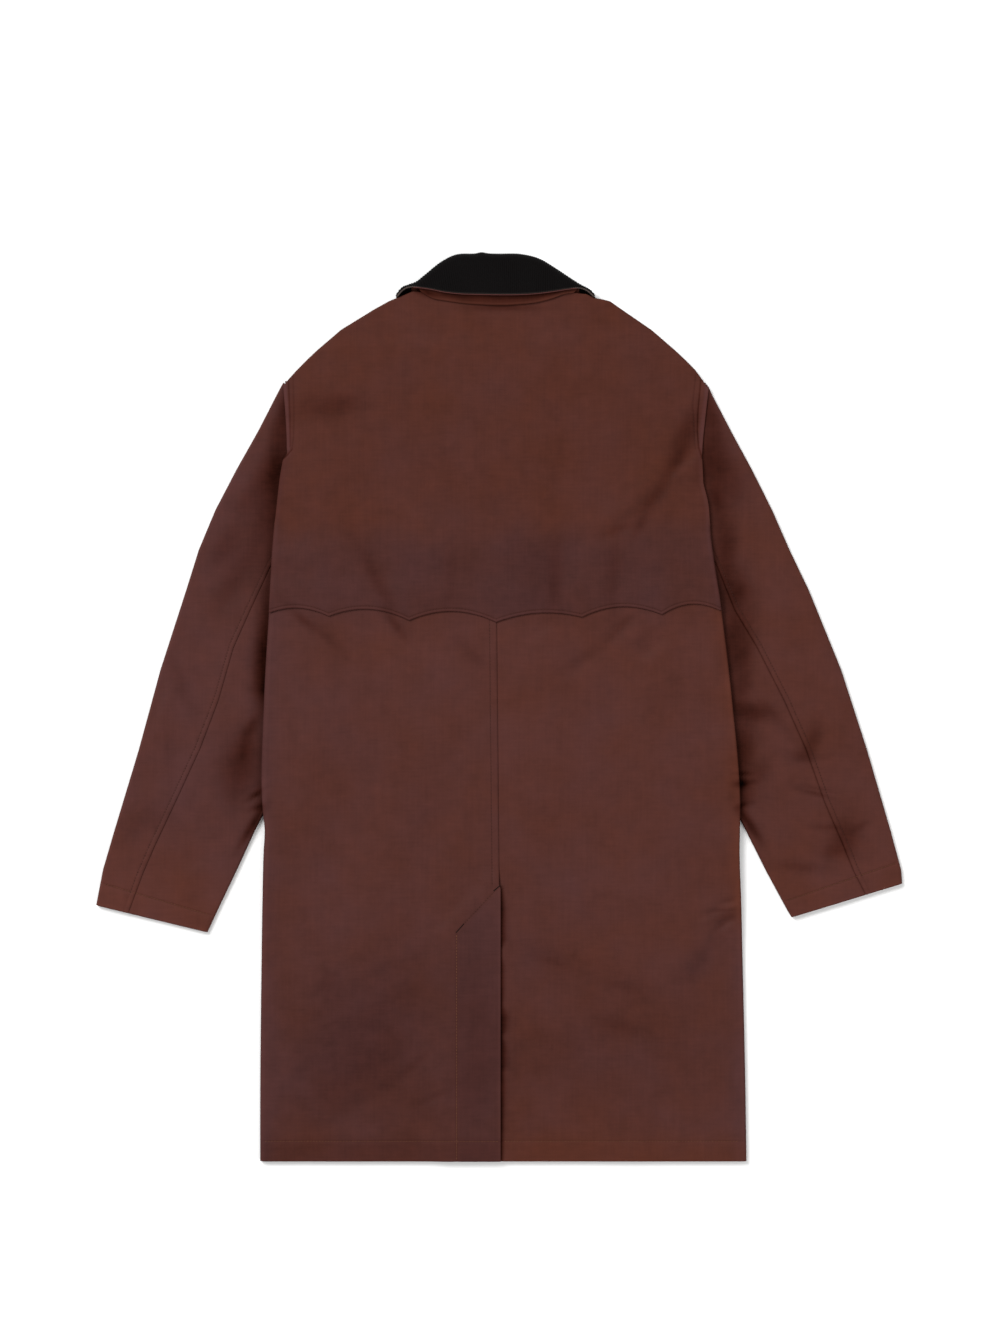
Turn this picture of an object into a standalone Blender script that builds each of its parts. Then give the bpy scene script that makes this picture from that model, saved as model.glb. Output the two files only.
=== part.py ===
"""Waxed coat laid flat with its back up: cloth panels, two-piece sleeves and a corduroy collar.

X runs across the coat, Y from hem to collar and Z up from the surface that it lies on.
Sizes are in millimetres and become metres when a piece is made.
"""
import math
from collections import namedtuple

import bmesh
import bpy
import numpy as np
from mathutils import Vector

# Cloth and seams
MM = 0.001
WALL = 2.0
THIN_WALL = 1.8
CORD_WALL = 2.2
CORD_VALLEY = 0.72
WALE_PITCH = 2.5
SEAM_GAP = 0.3
ROLL_ANGLES = (90, 60, 30)

# Heights of the middle of each cloth layer above the surface
FRONT_Z = WALL / 2
BACK_Z = 7.0
SLEEVE_TOP_Z = 6.5
SLEEVE_LOW_Z = WALL / 2
LAP_RISE = 2.5

# How far the body rises where it lies over a sleeve or over the front of the collar
FRONT_OVER_SLEEVE = 7.9
YOKE_OVER_CAP = 2.0
BACK_OVER_SLEEVE = 3.4
FRONT_OVER_COLLAR = 5.0
BACK_OVER_COLLAR = 2.3
FRONT_LAP_BUMP = 1.9
ARMPIT_Y = 172.0
ARMHOLE_TOP_Y = 380.0

# Lengths down the body
HEM_Y = -545.0
PANEL_TOP_Y = 132.0
VENT_TOP_Y = -215.0
VENT_CORNER_Y = -270.0
VENT_EDGE_X = 0.6
VENT_DEPTH_X = -53.0
FRONT_LAP_LEFT = 25.0
FRONT_LAP_RIGHT = -20.0

# Middle of the collar's folded layers, and the radius of its fold
COLLAR_MID_Z = 8.8
COLLAR_FOLD = 8.8

# Side edges of the body, a row for each height
BodyEdge = namedtuple("BodyEdge", "y left right")
BODY_EDGES = (
    BodyEdge(-545, -287, 295),
    BodyEdge(-472, -287, 294),
    BodyEdge(-352, -286, 292),
    BodyEdge(-232, -284, 290),
    BodyEdge(-130, -283, 288),
    BodyEdge(8, -282, 277),
    BodyEdge(116, -276, 264),
    BodyEdge(208, -271, 250),
    BodyEdge(300, -259, 243),
    BodyEdge(386, -262, 251),
)

# Outer fold of the sleeves
SleeveEdge = namedtuple("SleeveEdge", "y left right")
SLEEVE_EDGES = (
    SleeveEdge(380, -256, 245),
    SleeveEdge(374, -268, 256),
    SleeveEdge(332, -289, 276),
    SleeveEdge(284, -316, 302),
    SleeveEdge(236, -341, 326),
    SleeveEdge(188, -361, 347),
    SleeveEdge(140, -376, 370),
    SleeveEdge(44, -407, 409),
    SleeveEdge(-52, -433, 440),
    SleeveEdge(-148, -462, 468),
    SleeveEdge(-196, -476, 481),
    SleeveEdge(-238, -484, 484),
)

# Inner fold of the sleeves, hidden under the body down to where it comes out.
# The last row is past the cuffs, where the body lies on the surface again.
Underarm = namedtuple("Underarm", "y left right")
UNDERARMS = (
    Underarm(172, -240, 231),
    Underarm(116, -246, 236),
    Underarm(56, -242, 236),
    Underarm(-4, -244, 242),
    Underarm(-64, -256, 257),
    Underarm(-115, -278, 279),
    Underarm(-148, -295, 296),
    Underarm(-196, -317, 320),
    Underarm(-244, -340, 346),
    Underarm(-270, -352, 362),
    Underarm(-345, -400, 410),
)

# Seam down the back of each sleeve
SleeveSeam = namedtuple("SleeveSeam", "y left right")
SLEEVE_SEAMS = (
    SleeveSeam(224, -244, 234),
    SleeveSeam(166, -277, 262),
    SleeveSeam(116, -300, 282),
    SleeveSeam(71, -320, 309),
    SleeveSeam(8, -338, 341),
    SleeveSeam(-50, -360, 367),
    SleeveSeam(-115, -390, 390),
    SleeveSeam(-166, -414, 412),
    SleeveSeam(-198, -428, 425),
    SleeveSeam(-247, -446, 450),
)

# Where each cuff ends, at its outer and inner corner
Cuff = namedtuple("Cuff", "outer_y inner_y")
CUFFS = {"left": Cuff(-238, -270), "right": Cuff(-212, -252)}

# Lower edge of the yoke: points of the scallops and how far the edge rises between them
Scallop = namedtuple("Scallop", "x y rise top_x")
SCALLOPS = (
    Scallop(-276, 115, 4, -262),
    Scallop(-205, 109, 11, -195),
    Scallop(-109, 104, 12, -104),
    Scallop(-5, 102, 8, -3),
    Scallop(98, 108, 11, 102),
    Scallop(194, 111, 10, 185),
    Scallop(265, 116, 0, 250),
)

# Shoulder and neck edge of the yoke
NeckEdge = namedtuple("NeckEdge", "x y")
SHOULDER = (
    NeckEdge(-262, 386), NeckEdge(-244, 404), NeckEdge(-218, 428), NeckEdge(-190, 452),
    NeckEdge(-151, 476), NeckEdge(-133, 486), NeckEdge(-104, 498), NeckEdge(-90, 497),
    NeckEdge(-72, 493), NeckEdge(-42, 489), NeckEdge(0, 487), NeckEdge(24, 488),
    NeckEdge(48, 491), NeckEdge(62, 495), NeckEdge(76, 498), NeckEdge(102, 495.5),
    NeckEdge(131, 486), NeckEdge(145, 476), NeckEdge(180, 452), NeckEdge(208, 428),
    NeckEdge(234, 404), NeckEdge(250, 384),
)

# Shoulder and neck edge of the fronts
FRONT_TOP = {
    "left": (
        NeckEdge(-262, 386), NeckEdge(-244, 404), NeckEdge(-218, 428), NeckEdge(-190, 452),
        NeckEdge(-151, 476), NeckEdge(-133, 486), NeckEdge(-104, 498), NeckEdge(-99, 493.5),
        NeckEdge(-72, 451), NeckEdge(-38, 427), NeckEdge(-2.5, 415), NeckEdge(25, 415),
    ),
    "right": (
        NeckEdge(-20, 415), NeckEdge(2.5, 415), NeckEdge(38, 427), NeckEdge(70, 451),
        NeckEdge(95, 493), NeckEdge(102, 495.5), NeckEdge(131, 486), NeckEdge(145, 476),
        NeckEdge(180, 452), NeckEdge(208, 428), NeckEdge(234, 404), NeckEdge(250, 384),
    ),
}

# Collar cloth: its free edge on top, its fold, and where it ends on the underside
CollarStation = namedtuple("CollarStation", "fold_x fold_y edge_x edge_y under_x under_y")
FALL_STATIONS = (
    CollarStation(-117, 505.5, -110, 503.5, -125, 492),
    CollarStation(-104, 510, -100, 504, -108, 435),
    CollarStation(-91, 520, -84, 502, -76, 368),
    CollarStation(-73, 533.5, -66, 498, -12, 398),
    CollarStation(-56, 542.5, -48, 496, -12, 445),
    CollarStation(-28, 544, -24, 495, -20, 522),
    CollarStation(0, 544, 0, 494, 0, 533),
    CollarStation(25, 544, 24, 494, 22, 522),
    CollarStation(50, 538.5, 48, 495.5, 12, 445),
    CollarStation(66, 528.5, 66, 498, 12, 398),
    CollarStation(84, 516.5, 82, 500.5, 74, 368),
    CollarStation(96, 509.5, 95, 502, 104, 435),
    CollarStation(109.5, 502.5, 103, 500, 116, 491),
)
STAND_STATIONS = (
    CollarStation(-99, 504, -96, 499.5, -99, 494.5),
    CollarStation(-88, 513.5, -84, 492.5, -72, 452),
    CollarStation(-70, 527.5, -66, 488.5, -38, 428),
    CollarStation(-52, 534.5, -42, 485, -2.5, 416),
    CollarStation(-36, 536.5, -20, 483.5, -2.5, 442),
    CollarStation(-16, 536.5, -8, 483, -16, 520),
    CollarStation(0, 536.5, 0, 483, 0, 529),
    CollarStation(16, 536.5, 8, 483, 16, 520),
    CollarStation(36, 534.5, 22, 484, 2.5, 442),
    CollarStation(50, 530, 42, 486, 2.5, 416),
    CollarStation(65, 521, 62, 491, 38, 428),
    CollarStation(81, 509, 78, 496.5, 70, 452),
    CollarStation(93, 501.5, 90, 498, 95, 494),
)

# Layers of the collar: how far each lies inside the fold, and how far its edge shows below the fall
CollarLayer = namedtuple("CollarLayer", "inset set_in peek wall")
FALL_LAYER = CollarLayer(2.2, 2.2, 0.0, CORD_WALL)
UNDER_LAYER = CollarLayer(3.7, 4.2, 1.3, THIN_WALL)
STAND_LAYER = CollarLayer(5.85, 0.0, 0.0, THIN_WALL)

# Largest soft folds in the back: where, which way they run, and their size
Fold = namedtuple("Fold", "x y angle length width depth")
FOLDS = (
    Fold(186, 270, 48, 150, 46, -1.3),
    Fold(-130, 170, -60, 110, 44, -1.0),
    Fold(-160, -400, 35, 220, 70, -1.4),
    Fold(190, -390, -8, 170, 60, 1.3),
    Fold(170, -290, 12, 160, 60, -1.2),
    Fold(-150, -120, 80, 200, 80, 1.2),
    Fold(140, 20, -75, 160, 80, 1.0),
)

SLEEVE_FOLDS = (
    Fold(-372, 20, 66, 150, 44, -1.0),
    Fold(-418, -120, 70, 120, 40, 1.0),
    Fold(-350, -150, 40, 90, 40, -0.9),
    Fold(372, 60, -62, 150, 44, -1.0),
    Fold(408, -60, -66, 120, 40, 1.0),
    Fold(372, -150, -30, 90, 40, -0.9),
)

# Middle of the finished outline, which is put over the origin
MIDDLE_X = -0.93
MIDDLE_Y = -0.5

COAT = (0.086, 0.030, 0.023)
CORD = (0.006, 0.005, 0.005)


def soft_step(share):
    """Rise from 0 to 1 with level ends."""
    share = min(max(share, 0.0), 1.0)
    return share * share * (3.0 - 2.0 * share)


def mix(start, end, share):
    return start + (end - start) * share


def along(rows, column, at, key=0):
    """Read a column of a table by straight lines between its rows."""
    ordered = sorted(rows, key=lambda row: row[key])
    places = [row[key] for row in ordered]
    values = [getattr(row, column) for row in ordered]
    return float(np.interp(at, places, values))


def smooth_along(rows, column, at):
    """Read a column of a table by a smooth curve through its rows."""
    ordered = sorted(rows, key=lambda row: row[0])
    places = np.array([row[0] for row in ordered], dtype=float)
    values = np.array([getattr(row, column) for row in ordered], dtype=float)
    slopes = np.gradient(values, places)
    at = min(max(at, places[0]), places[-1])
    row = min(max(int(np.searchsorted(places, at)) - 1, 0), len(places) - 2)
    step = places[row + 1] - places[row]
    t = (at - places[row]) / step
    from_start = (1 + 2 * t) * (1 - t) ** 2 * values[row] + t * (1 - t) ** 2 * step * slopes[row]
    from_end = t * t * (3 - 2 * t) * values[row + 1] + t * t * (t - 1) * step * slopes[row + 1]
    return float(from_start + from_end)


def underarm_x(y, hand):
    """Inner line of a sleeve: the armhole above the armpit, the inner fold below it."""
    if y <= ARMPIT_Y:
        return along(UNDERARMS, hand, y)
    share = min((y - ARMPIT_Y) / (ARMHOLE_TOP_Y - ARMPIT_Y), 1.0)
    return mix(along(UNDERARMS, hand, ARMPIT_Y), along(SLEEVE_EDGES, hand, ARMHOLE_TOP_Y), share)


def inside_underarm(x, y, hand):
    """Distance from a sleeve's inner line, towards the middle of the body."""
    line = underarm_x(y, hand)
    return x - line if hand == "left" else line - x


def over_sleeve(y):
    """1 where the body lies on the sleeve, 0 above the armpit."""
    return soft_step((ARMPIT_Y + 53 - y) / 49)


def over_collar(x, y):
    """1 over the front ends of the collar, 0 well outside them."""
    distance = math.hypot((x + 5) / 140, (y - 440) / 95)
    return soft_step((2.2 - distance) / 0.95)


def fold_height(folds, x, y):
    """Height that the soft folds add to the cloth."""
    height = 0.0
    for fold in folds:
        angle = math.radians(fold.angle)
        run = (x - fold.x) * math.cos(angle) + (y - fold.y) * math.sin(angle)
        side = (y - fold.y) * math.cos(angle) - (x - fold.x) * math.sin(angle)
        reach = (2 * run / fold.length) ** 2 + (2 * side / fold.width) ** 2
        height += fold.depth * math.exp(-1.6 * reach)
    return height


def back_z(x, y):
    """Middle of the back cloth, before any lap."""
    over_fronts = soft_step((75 - abs(x - 8)) / 35) * soft_step((455 - y) / 28)
    lift = (BACK_OVER_COLLAR + FRONT_LAP_BUMP * over_fronts) * over_collar(x, y)
    free = (1.0 - over_collar(x, y)) * soft_step((abs(y - PANEL_TOP_Y) - 25) / 40)
    for hand in ("left", "right"):
        near = soft_step((110 - inside_underarm(x, y, hand)) / 86)
        lift = max(lift, near * (YOKE_OVER_CAP + BACK_OVER_SLEEVE * over_sleeve(y)))
        free = min(free, 1.0 - near)
    return BACK_Z + lift + free * fold_height(FOLDS, x, y)


def front_z(x, y):
    """Middle of the front cloth, before any lap."""
    lift = FRONT_OVER_COLLAR * over_collar(x, y)
    for hand in ("left", "right"):
        near = soft_step((100 - inside_underarm(x, y, hand)) / 76)
        lift = max(lift, near * FRONT_OVER_SLEEVE * over_sleeve(y))
    return FRONT_Z + lift


def roll_radius(x, y, gap=0.45):
    """Radius of the quarter roll where back and front turn to meet each other."""
    return (back_z(x, y) - front_z(x, y)) / 2 - gap


def yoke_z(x, y):
    """The yoke lies on the panels below it and on the plain body above them."""
    return back_z(x, y) + LAP_RISE * soft_step((PANEL_TOP_Y + 33 - y) / 31)


def centre_seam_x(y):
    return mix(-1.0, -4.0, (y - VENT_TOP_Y) / (102 - VENT_TOP_Y))


def underlap_x(y):
    """Hidden edge of the right back panel: the centre seam, then out under the vent."""
    if y >= VENT_TOP_Y:
        return centre_seam_x(y)
    share = (VENT_TOP_Y - y) / (VENT_TOP_Y - VENT_CORNER_Y)
    return mix(centre_seam_x(VENT_TOP_Y), VENT_DEPTH_X, min(share, 1.0))


def lapped_z(x, y):
    """The left back panel rises over the right one at the vent."""
    beyond = x - underlap_x(y)
    below_seam = soft_step((VENT_TOP_Y + 45 - y) / 24)
    return back_z(x, y) + (LAP_RISE + 0.1) * soft_step((beyond + 34) / 24) * below_seam


def right_front_z(x, y):
    """The right front rises over the left one at the centre front."""
    return front_z(x, y) + (LAP_RISE + 0.2) * soft_step((46 - x) / 18)


def make_material(name, colour, roughness):
    material = bpy.data.materials.new(name)
    material.use_nodes = True
    shader = material.node_tree.nodes["Principled BSDF"]
    shader.inputs["Base Color"].default_value = (*colour, 1.0)
    shader.inputs["Roughness"].default_value = roughness
    shader.inputs["Metallic"].default_value = 0.0
    return material


def sheet(name, columns, rows, place, material, wall=WALL, ridge=None):
    """Make one piece of cloth: a grid with each point placed, thickened to its wall.

    A ridge function gives 1 where the outside stands at the full wall and 0 in a valley.
    """
    shape = bmesh.new()
    bmesh.ops.create_grid(shape, x_segments=columns, y_segments=rows, size=0.5)
    raised = shape.verts.layers.deform.verify() if ridge else None
    points = []
    for vertex in shape.verts:
        column = round((vertex.co.x + 0.5) * columns)
        row = round((vertex.co.y + 0.5) * rows)
        points.append((vertex, Vector(place(column, row))))
        if ridge:
            vertex[raised][0] = ridge(column, row)
    middle = sum((point for _, point in points), Vector()) / len(points)
    for vertex, point in points:
        vertex.co = (point - middle) * MM
    bmesh.ops.remove_doubles(shape, verts=shape.verts, dist=0.00002)
    mesh = bpy.data.meshes.new(name)
    shape.to_mesh(mesh)
    shape.free()
    piece = bpy.data.objects.new(name, mesh)
    piece.location = middle * MM
    piece.parent = origin
    mesh.materials.append(material)
    coat.objects.link(piece)
    thicken = piece.modifiers.new("cloth wall", "SOLIDIFY")
    thicken.thickness = wall * MM
    thicken.offset = 0.0
    if ridge:
        thicken.offset = -1.0
        thicken.vertex_group = piece.vertex_groups.new(name="wales").name
        thicken.thickness_vertex_group = CORD_VALLEY
    return piece


def side_roll(column, hand, x, y, drop):
    """Point in the quarter roll at a side edge, and its height below or above the flat cloth."""
    inward = 1 if hand == "left" else -1
    radius = roll_radius(x + inward * 3, y)
    angle = math.radians(ROLL_ANGLES[column])
    place = x + inward * max(radius, 1.4) * (1 - math.sin(angle))
    return place, drop * radius * (1 - math.cos(angle))


def spread(marks, steps):
    """Places between each pair of marks, with the given number of steps in each."""
    places = [marks[0]]
    for start, end, count in zip(marks, marks[1:], steps):
        for step in range(1, count + 1):
            places.append(mix(start, end, step / count))
    return places


def make_yoke(material):
    steps = 5
    rolls = len(ROLL_ANGLES)
    flat = (len(SCALLOPS) - 1) * steps
    lap_rows = (0, 14, 33)
    body_rows = 10
    columns = flat + 2 * rolls
    rows = len(lap_rows) - 1 + body_rows + rolls

    def scallop_place(column):
        index = min(column // steps, len(SCALLOPS) - 2)
        share = column / steps - index
        start, end = SCALLOPS[index], SCALLOPS[index + 1]
        rise = start.rise * (1 - (2 * share - 1) ** 2)
        return (mix(start.x, end.x, share), mix(start.y, end.y, share) + rise,
                mix(start.top_x, end.top_x, share))

    def shoulder_turn(top_x):
        from_tip = min(top_x + 262, 250 - top_x)
        from_neck = max(-104 - top_x, top_x - 102)
        return soft_step(from_tip / 25) * soft_step(from_neck / 8)

    def place(column, row):
        flat_column = min(max(column - rolls, 0), flat)
        low_x, low_y, top_x = scallop_place(flat_column)
        top_y = along(SHOULDER, "y", top_x)
        share_across = flat_column / flat
        top_drop = 0.0
        roll_row = row - (rows - rolls)
        if row < len(lap_rows):
            y = low_y + lap_rows[row]
        else:
            start = low_y + lap_rows[-1]
            done = min((row - len(lap_rows) + 1) / body_rows, 1.0)
            edge = max(roll_radius(top_x, top_y), 1.4)
            y = mix(start, top_y - edge, done)
            if roll_row > 0:
                angle = math.radians(ROLL_ANGLES[rolls - roll_row])
                y = top_y - edge * (1 - math.sin(angle))
                turn = roll_radius(top_x, top_y) * shoulder_turn(top_x)
                top_drop = turn * (1 - math.cos(angle))
        share_up = (y - low_y) / (top_y - low_y)
        x = mix(low_x, top_x, share_up)
        left_off = smooth_along(BODY_EDGES, "left", y) - mix(SCALLOPS[0].x, SCALLOPS[0].top_x, share_up)
        right_off = smooth_along(BODY_EDGES, "right", y) - mix(SCALLOPS[-1].x, SCALLOPS[-1].top_x, share_up)
        x += mix(left_off, right_off, share_across)
        side_drop = 0.0
        turned = soft_step((230 - y) / 40) * (1 - 0.7 * soft_step((PANEL_TOP_Y + 33 - y) / 31))
        if column < rolls:
            x, side_drop = side_roll(column, "left", x, y, turned)
        elif column == rolls:
            x += max(roll_radius(x + 3, y), 1.4)
        elif column > columns - rolls:
            x, side_drop = side_roll(columns - column, "right", x, y, turned)
        elif column == columns - rolls:
            x -= max(roll_radius(x - 3, y), 1.4)
        return x, y, yoke_z(x, y) - top_drop - side_drop

    return sheet("back_yoke", columns, rows, place, material)


# Heights of the grid rows that the back panels and the fronts share, so that their sides match
SIDE_ROWS = (-545, -480, -410, -345, -305, -270, -252, -233, -215, -196, -165, -125, -85, -45,
             -5, 35, 70, 100)


def make_back(hand, material):
    rolls = len(ROLL_ANGLES)
    rows = len(SIDE_ROWS)

    def place(column, row):
        y = SIDE_ROWS[row] if row < rows else PANEL_TOP_Y
        edge = smooth_along(BODY_EDGES, hand, y)
        if hand == "left":
            middle = centre_seam_x(y) - SEAM_GAP / 2 if y > VENT_TOP_Y else VENT_EDGE_X
            marks = (edge + 3, -110, -80, -56, -40, -20, middle)
            places = spread(marks, (6, 1, 1, 1, 1, 1))
            height = lapped_z
        else:
            middle = underlap_x(y) + SEAM_GAP / 2
            places = spread((middle, edge - 3), (11,))
            height = back_z
        if hand == "left" and column < rolls:
            x, drop = side_roll(column, hand, edge, y, 1.0)
            return x, y, back_z(edge + 3, y) - drop
        if hand == "right" and column > 11:
            x, drop = side_roll(columns - column, hand, edge, y, 1.0)
            return x, y, back_z(edge - 3, y) - drop
        x = places[column - rolls] if hand == "left" else places[column]
        return x, y, height(x, y)

    columns = rolls + 11
    return sheet("back_" + hand, columns, rows, place, material)


FRONT_ROWS = SIDE_ROWS + (120, 140, 158, 176, 202, 228, 258, 288, 318, 350)
ARMHOLE_ROW_Y = 176.0
SHOULDER_ROW_Y = 394.0


def make_front(hand, material):
    rolls = len(ROLL_ANGLES)
    marks = FRONT_TOP[hand]
    inward = 1 if hand == "left" else -1
    tip = underarm_x(400, hand) + inward * 0.6
    if hand == "left":
        top_marks = (tip, -190, -133, -104, -99, -72, -38, -2.5, FRONT_LAP_LEFT)
        low_marks = (-284, -215, -150, -110, -100, -72, -38, -2.5, FRONT_LAP_LEFT)
        steps = (3, 2, 1, 1, 1, 1, 1, 1)
    else:
        top_marks = (FRONT_LAP_RIGHT, 2.5, 27, 46, 70, 95, 102, 131, 180, tip)
        low_marks = (FRONT_LAP_RIGHT, 2.5, 27, 46, 72, 100, 112, 150, 215, 292)
        steps = (1, 1, 1, 1, 1, 1, 1, 2, 3)
    tops = spread(top_marks, steps)
    lows = spread(low_marks, steps)
    flat = len(tops) - 1
    columns = flat + rolls
    rows = len(FRONT_ROWS) + rolls

    def side_edge(y):
        armhole = underarm_x(y, hand) + inward * mix(0.6, 2.2, soft_step((235 - y) / 35))
        out = smooth_along(BODY_EDGES, hand, min(y, 105))
        return mix(out, armhole, soft_step((y - 105) / 62))

    def turn_at(top_x):
        from_neck = max(-104 - top_x, top_x - 102)
        return soft_step(from_neck / 8)

    def place(column, row):
        across = column if hand == "right" else column - rolls
        across = min(max(across, 0), flat)
        top_x, low_x = tops[across], lows[across]
        top_y = along(marks, "y", top_x)
        radius = max(roll_radius(top_x, top_y), 1.4)
        rise = 0.0
        if row < len(FRONT_ROWS):
            y = FRONT_ROWS[row]
            if y > ARMHOLE_ROW_Y:
                above = (y - ARMHOLE_ROW_Y) / (SHOULDER_ROW_Y - ARMHOLE_ROW_Y)
                y = mix(ARMHOLE_ROW_Y, top_y - radius, above)
        else:
            turn = row - len(FRONT_ROWS)
            y = top_y - radius
            if turn > 0:
                angle = math.radians(ROLL_ANGLES[rolls - turn])
                y = top_y - radius * (1 - math.sin(angle))
                rise = roll_radius(top_x, top_y) * turn_at(top_x) * (1 - math.cos(angle))
        share_up = (y - HEM_Y) / (top_y - HEM_Y)
        x = mix(low_x, top_x, share_up)
        outer = 0 if hand == "left" else flat
        outer_off = side_edge(y) - mix(lows[outer], tops[outer], share_up)
        share_out = across / flat if hand == "right" else 1 - across / flat
        x += outer_off * share_out ** 3
        height = front_z if hand == "left" else right_front_z
        at_edge = column if hand == "left" else columns - column
        up = soft_step((125 - y) / 25)
        level_x = x
        if at_edge < rolls:
            level_x = x + inward * 3
            x, turn = side_roll(at_edge, hand, x, y, up)
            rise += turn
        elif at_edge == rolls:
            x += inward * max(roll_radius(x + inward * 3, y), 1.4)
            level_x = x
        return x, y, height(level_x, y) + rise

    return sheet("front_" + hand, columns, rows, place, material)


SLEEVE_SHARES = (0.0, 0.014, 0.05, 0.11, 0.18, 0.26, 0.34, 0.42, 0.5, 0.58, 0.66, 0.74,
                 0.82, 0.9, 0.95, 1.0)
FOREARM_SEAM = 0.52


def sleeve_ends(share, hand):
    """Outer and inner fold of a sleeve at a share of its length."""
    outer_y = mix(ARMHOLE_TOP_Y, CUFFS[hand].outer_y, share)
    inner_y = mix(ARMPIT_Y, CUFFS[hand].inner_y, share)
    outer = Vector((along(SLEEVE_EDGES, hand, outer_y), outer_y))
    inner = Vector((underarm_x(inner_y, hand), inner_y))
    return outer, inner


def seam_across(outer, inner, hand):
    """Share of the way from outer to inner fold at which the back seam lies."""
    side = 1 if hand == "left" else -1
    low, high = 0.0, 1.0
    for _ in range(30):
        middle = (low + high) / 2
        point = outer.lerp(inner, middle)
        if side * (point.x - along(SLEEVE_SEAMS, hand, point.y)) < 0:
            low = middle
        else:
            high = middle
    return min(max(middle, 0.2), 0.8)


def make_sleeve(hand, part, material):
    """One piece of a sleeve, from the back seam round a fold to the seam on the underside."""
    top_steps, fold_steps, low_steps = 4, 4, 3
    columns = top_steps + fold_steps + low_steps
    rows = len(SLEEVE_SHARES) - 1
    radius = (SLEEVE_TOP_Z - SLEEVE_LOW_Z) / 2
    middle_z = (SLEEVE_TOP_Z + SLEEVE_LOW_Z) / 2

    def place(column, row):
        outer, inner = sleeve_ends(SLEEVE_SHARES[row], hand)
        width = (inner - outer).length
        seam = seam_across(outer, inner, hand)
        if part == "top":
            top_reach = seam * width - SEAM_GAP / 2
            low_reach = FOREARM_SEAM * width - SEAM_GAP / 2
        else:
            top_reach = (1 - seam) * width - SEAM_GAP / 2
            low_reach = (1 - FOREARM_SEAM) * width - SEAM_GAP / 2
        if column <= top_steps:
            reach = mix(top_reach, radius, column / top_steps)
            z = SLEEVE_TOP_Z
        elif column < top_steps + fold_steps:
            angle = math.pi * (column - top_steps) / fold_steps
            reach = radius * (1 - math.sin(angle))
            z = middle_z + radius * math.cos(angle)
        else:
            reach = mix(radius, low_reach, (column - top_steps - fold_steps) / low_steps)
            z = SLEEVE_LOW_Z
        if part == "top":
            point = outer.lerp(inner, reach / width)
        else:
            point = inner.lerp(outer, reach / width)
        if column < top_steps:
            z += fold_height(SLEEVE_FOLDS, point.x, point.y)
        return point.x, point.y, z

    return sheet("sleeve_" + hand + "_" + part, columns, rows, place, material)


def collar_point(stations, fold_x, layer):
    """Free edge, fold and underside end of the collar cloth, set in from its outline."""
    fold = Vector((fold_x, along(stations, "fold_y", fold_x)))
    ahead = Vector((fold_x + 4, along(stations, "fold_y", fold_x + 4)))
    behind = Vector((fold_x - 4, along(stations, "fold_y", fold_x - 4)))
    run = (ahead - behind).normalized()
    inward = Vector((run.y, -run.x))
    edge = Vector((along(stations, "edge_x", fold_x), along(stations, "edge_y", fold_x)))
    under = Vector((along(stations, "under_x", fold_x), along(stations, "under_y", fold_x)))
    fold = fold + inward * layer.set_in
    edge = edge + Vector((0.0, -layer.peek))
    under = under + (fold - under).normalized() * layer.inset * 0.5
    return edge, fold, under


def collar_sheet(name, stations, columns, group, layer, material, ridge=None):
    """A piece folded over its upper edge: on top as the fall or stand, below as the front ends."""
    top_rows, low_rows = 3, 5
    rows = top_rows + low_rows
    radius = COLLAR_FOLD - layer.inset
    first, last = stations[0].fold_x, stations[-1].fold_x

    def height(distance):
        if distance >= radius:
            return radius
        return math.sqrt(radius ** 2 - (radius - distance) ** 2)

    def place(column, row):
        if row < low_rows - 1:
            column = round(column / group) * group
        at = mix(first, last, column / columns)
        edge, fold, under = collar_point(stations, at, layer)
        turned = row - low_rows
        if turned >= 0:
            full = (edge - fold).length
            reach = (0.0, min(0.29 * radius, 0.4 * full), min(radius, 0.8 * full), full)[turned]
            point = fold.lerp(edge, reach / full)
            return point.x, point.y, COLLAR_MID_Z + height(reach)
        full = (under - fold).length
        bend = min(radius, 0.5 * full)
        reach = (full, mix(bend, full, 0.6), mix(bend, full, 0.25), bend, 0.29 * bend)[row]
        point = fold.lerp(under, reach / full)
        return point.x, point.y, COLLAR_MID_Z - height(reach)

    return sheet(name, columns, rows, place, material, layer.wall, ridge)


def wale(column, row):
    """Wales run up and down the collar's top; its underside lies flat and plain."""
    return 1.0 if row < 4 or column % 2 == 0 else 0.0


for old in list(bpy.data.objects):
    bpy.data.objects.remove(old, do_unlink=True)
coat = bpy.data.collections.new("waxed_coat")
bpy.context.scene.collection.children.link(coat)
origin = bpy.data.objects.new("coat_origin", None)
origin.location = (-MIDDLE_X * MM, -MIDDLE_Y * MM, 0.0)
coat.objects.link(origin)

waxed = make_material("waxed_cotton", COAT, 0.55)
corduroy = make_material("black_corduroy", CORD, 0.9)

make_yoke(waxed)
for hand in ("left", "right"):
    make_back(hand, waxed)
    make_front(hand, waxed)
    make_sleeve(hand, "top", waxed)
    make_sleeve(hand, "under", waxed)
collar_width = FALL_STATIONS[-1].fold_x - FALL_STATIONS[0].fold_x
wale_columns = 2 * 7 * round(collar_width / WALE_PITCH / 7)
collar_sheet("collar_fall", FALL_STATIONS, wale_columns, 7, FALL_LAYER, corduroy, wale)
collar_sheet("under_collar", FALL_STATIONS, wale_columns // 7, 1, UNDER_LAYER, waxed)
collar_sheet("collar_stand", STAND_STATIONS, 24, 1, STAND_LAYER, waxed)
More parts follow.
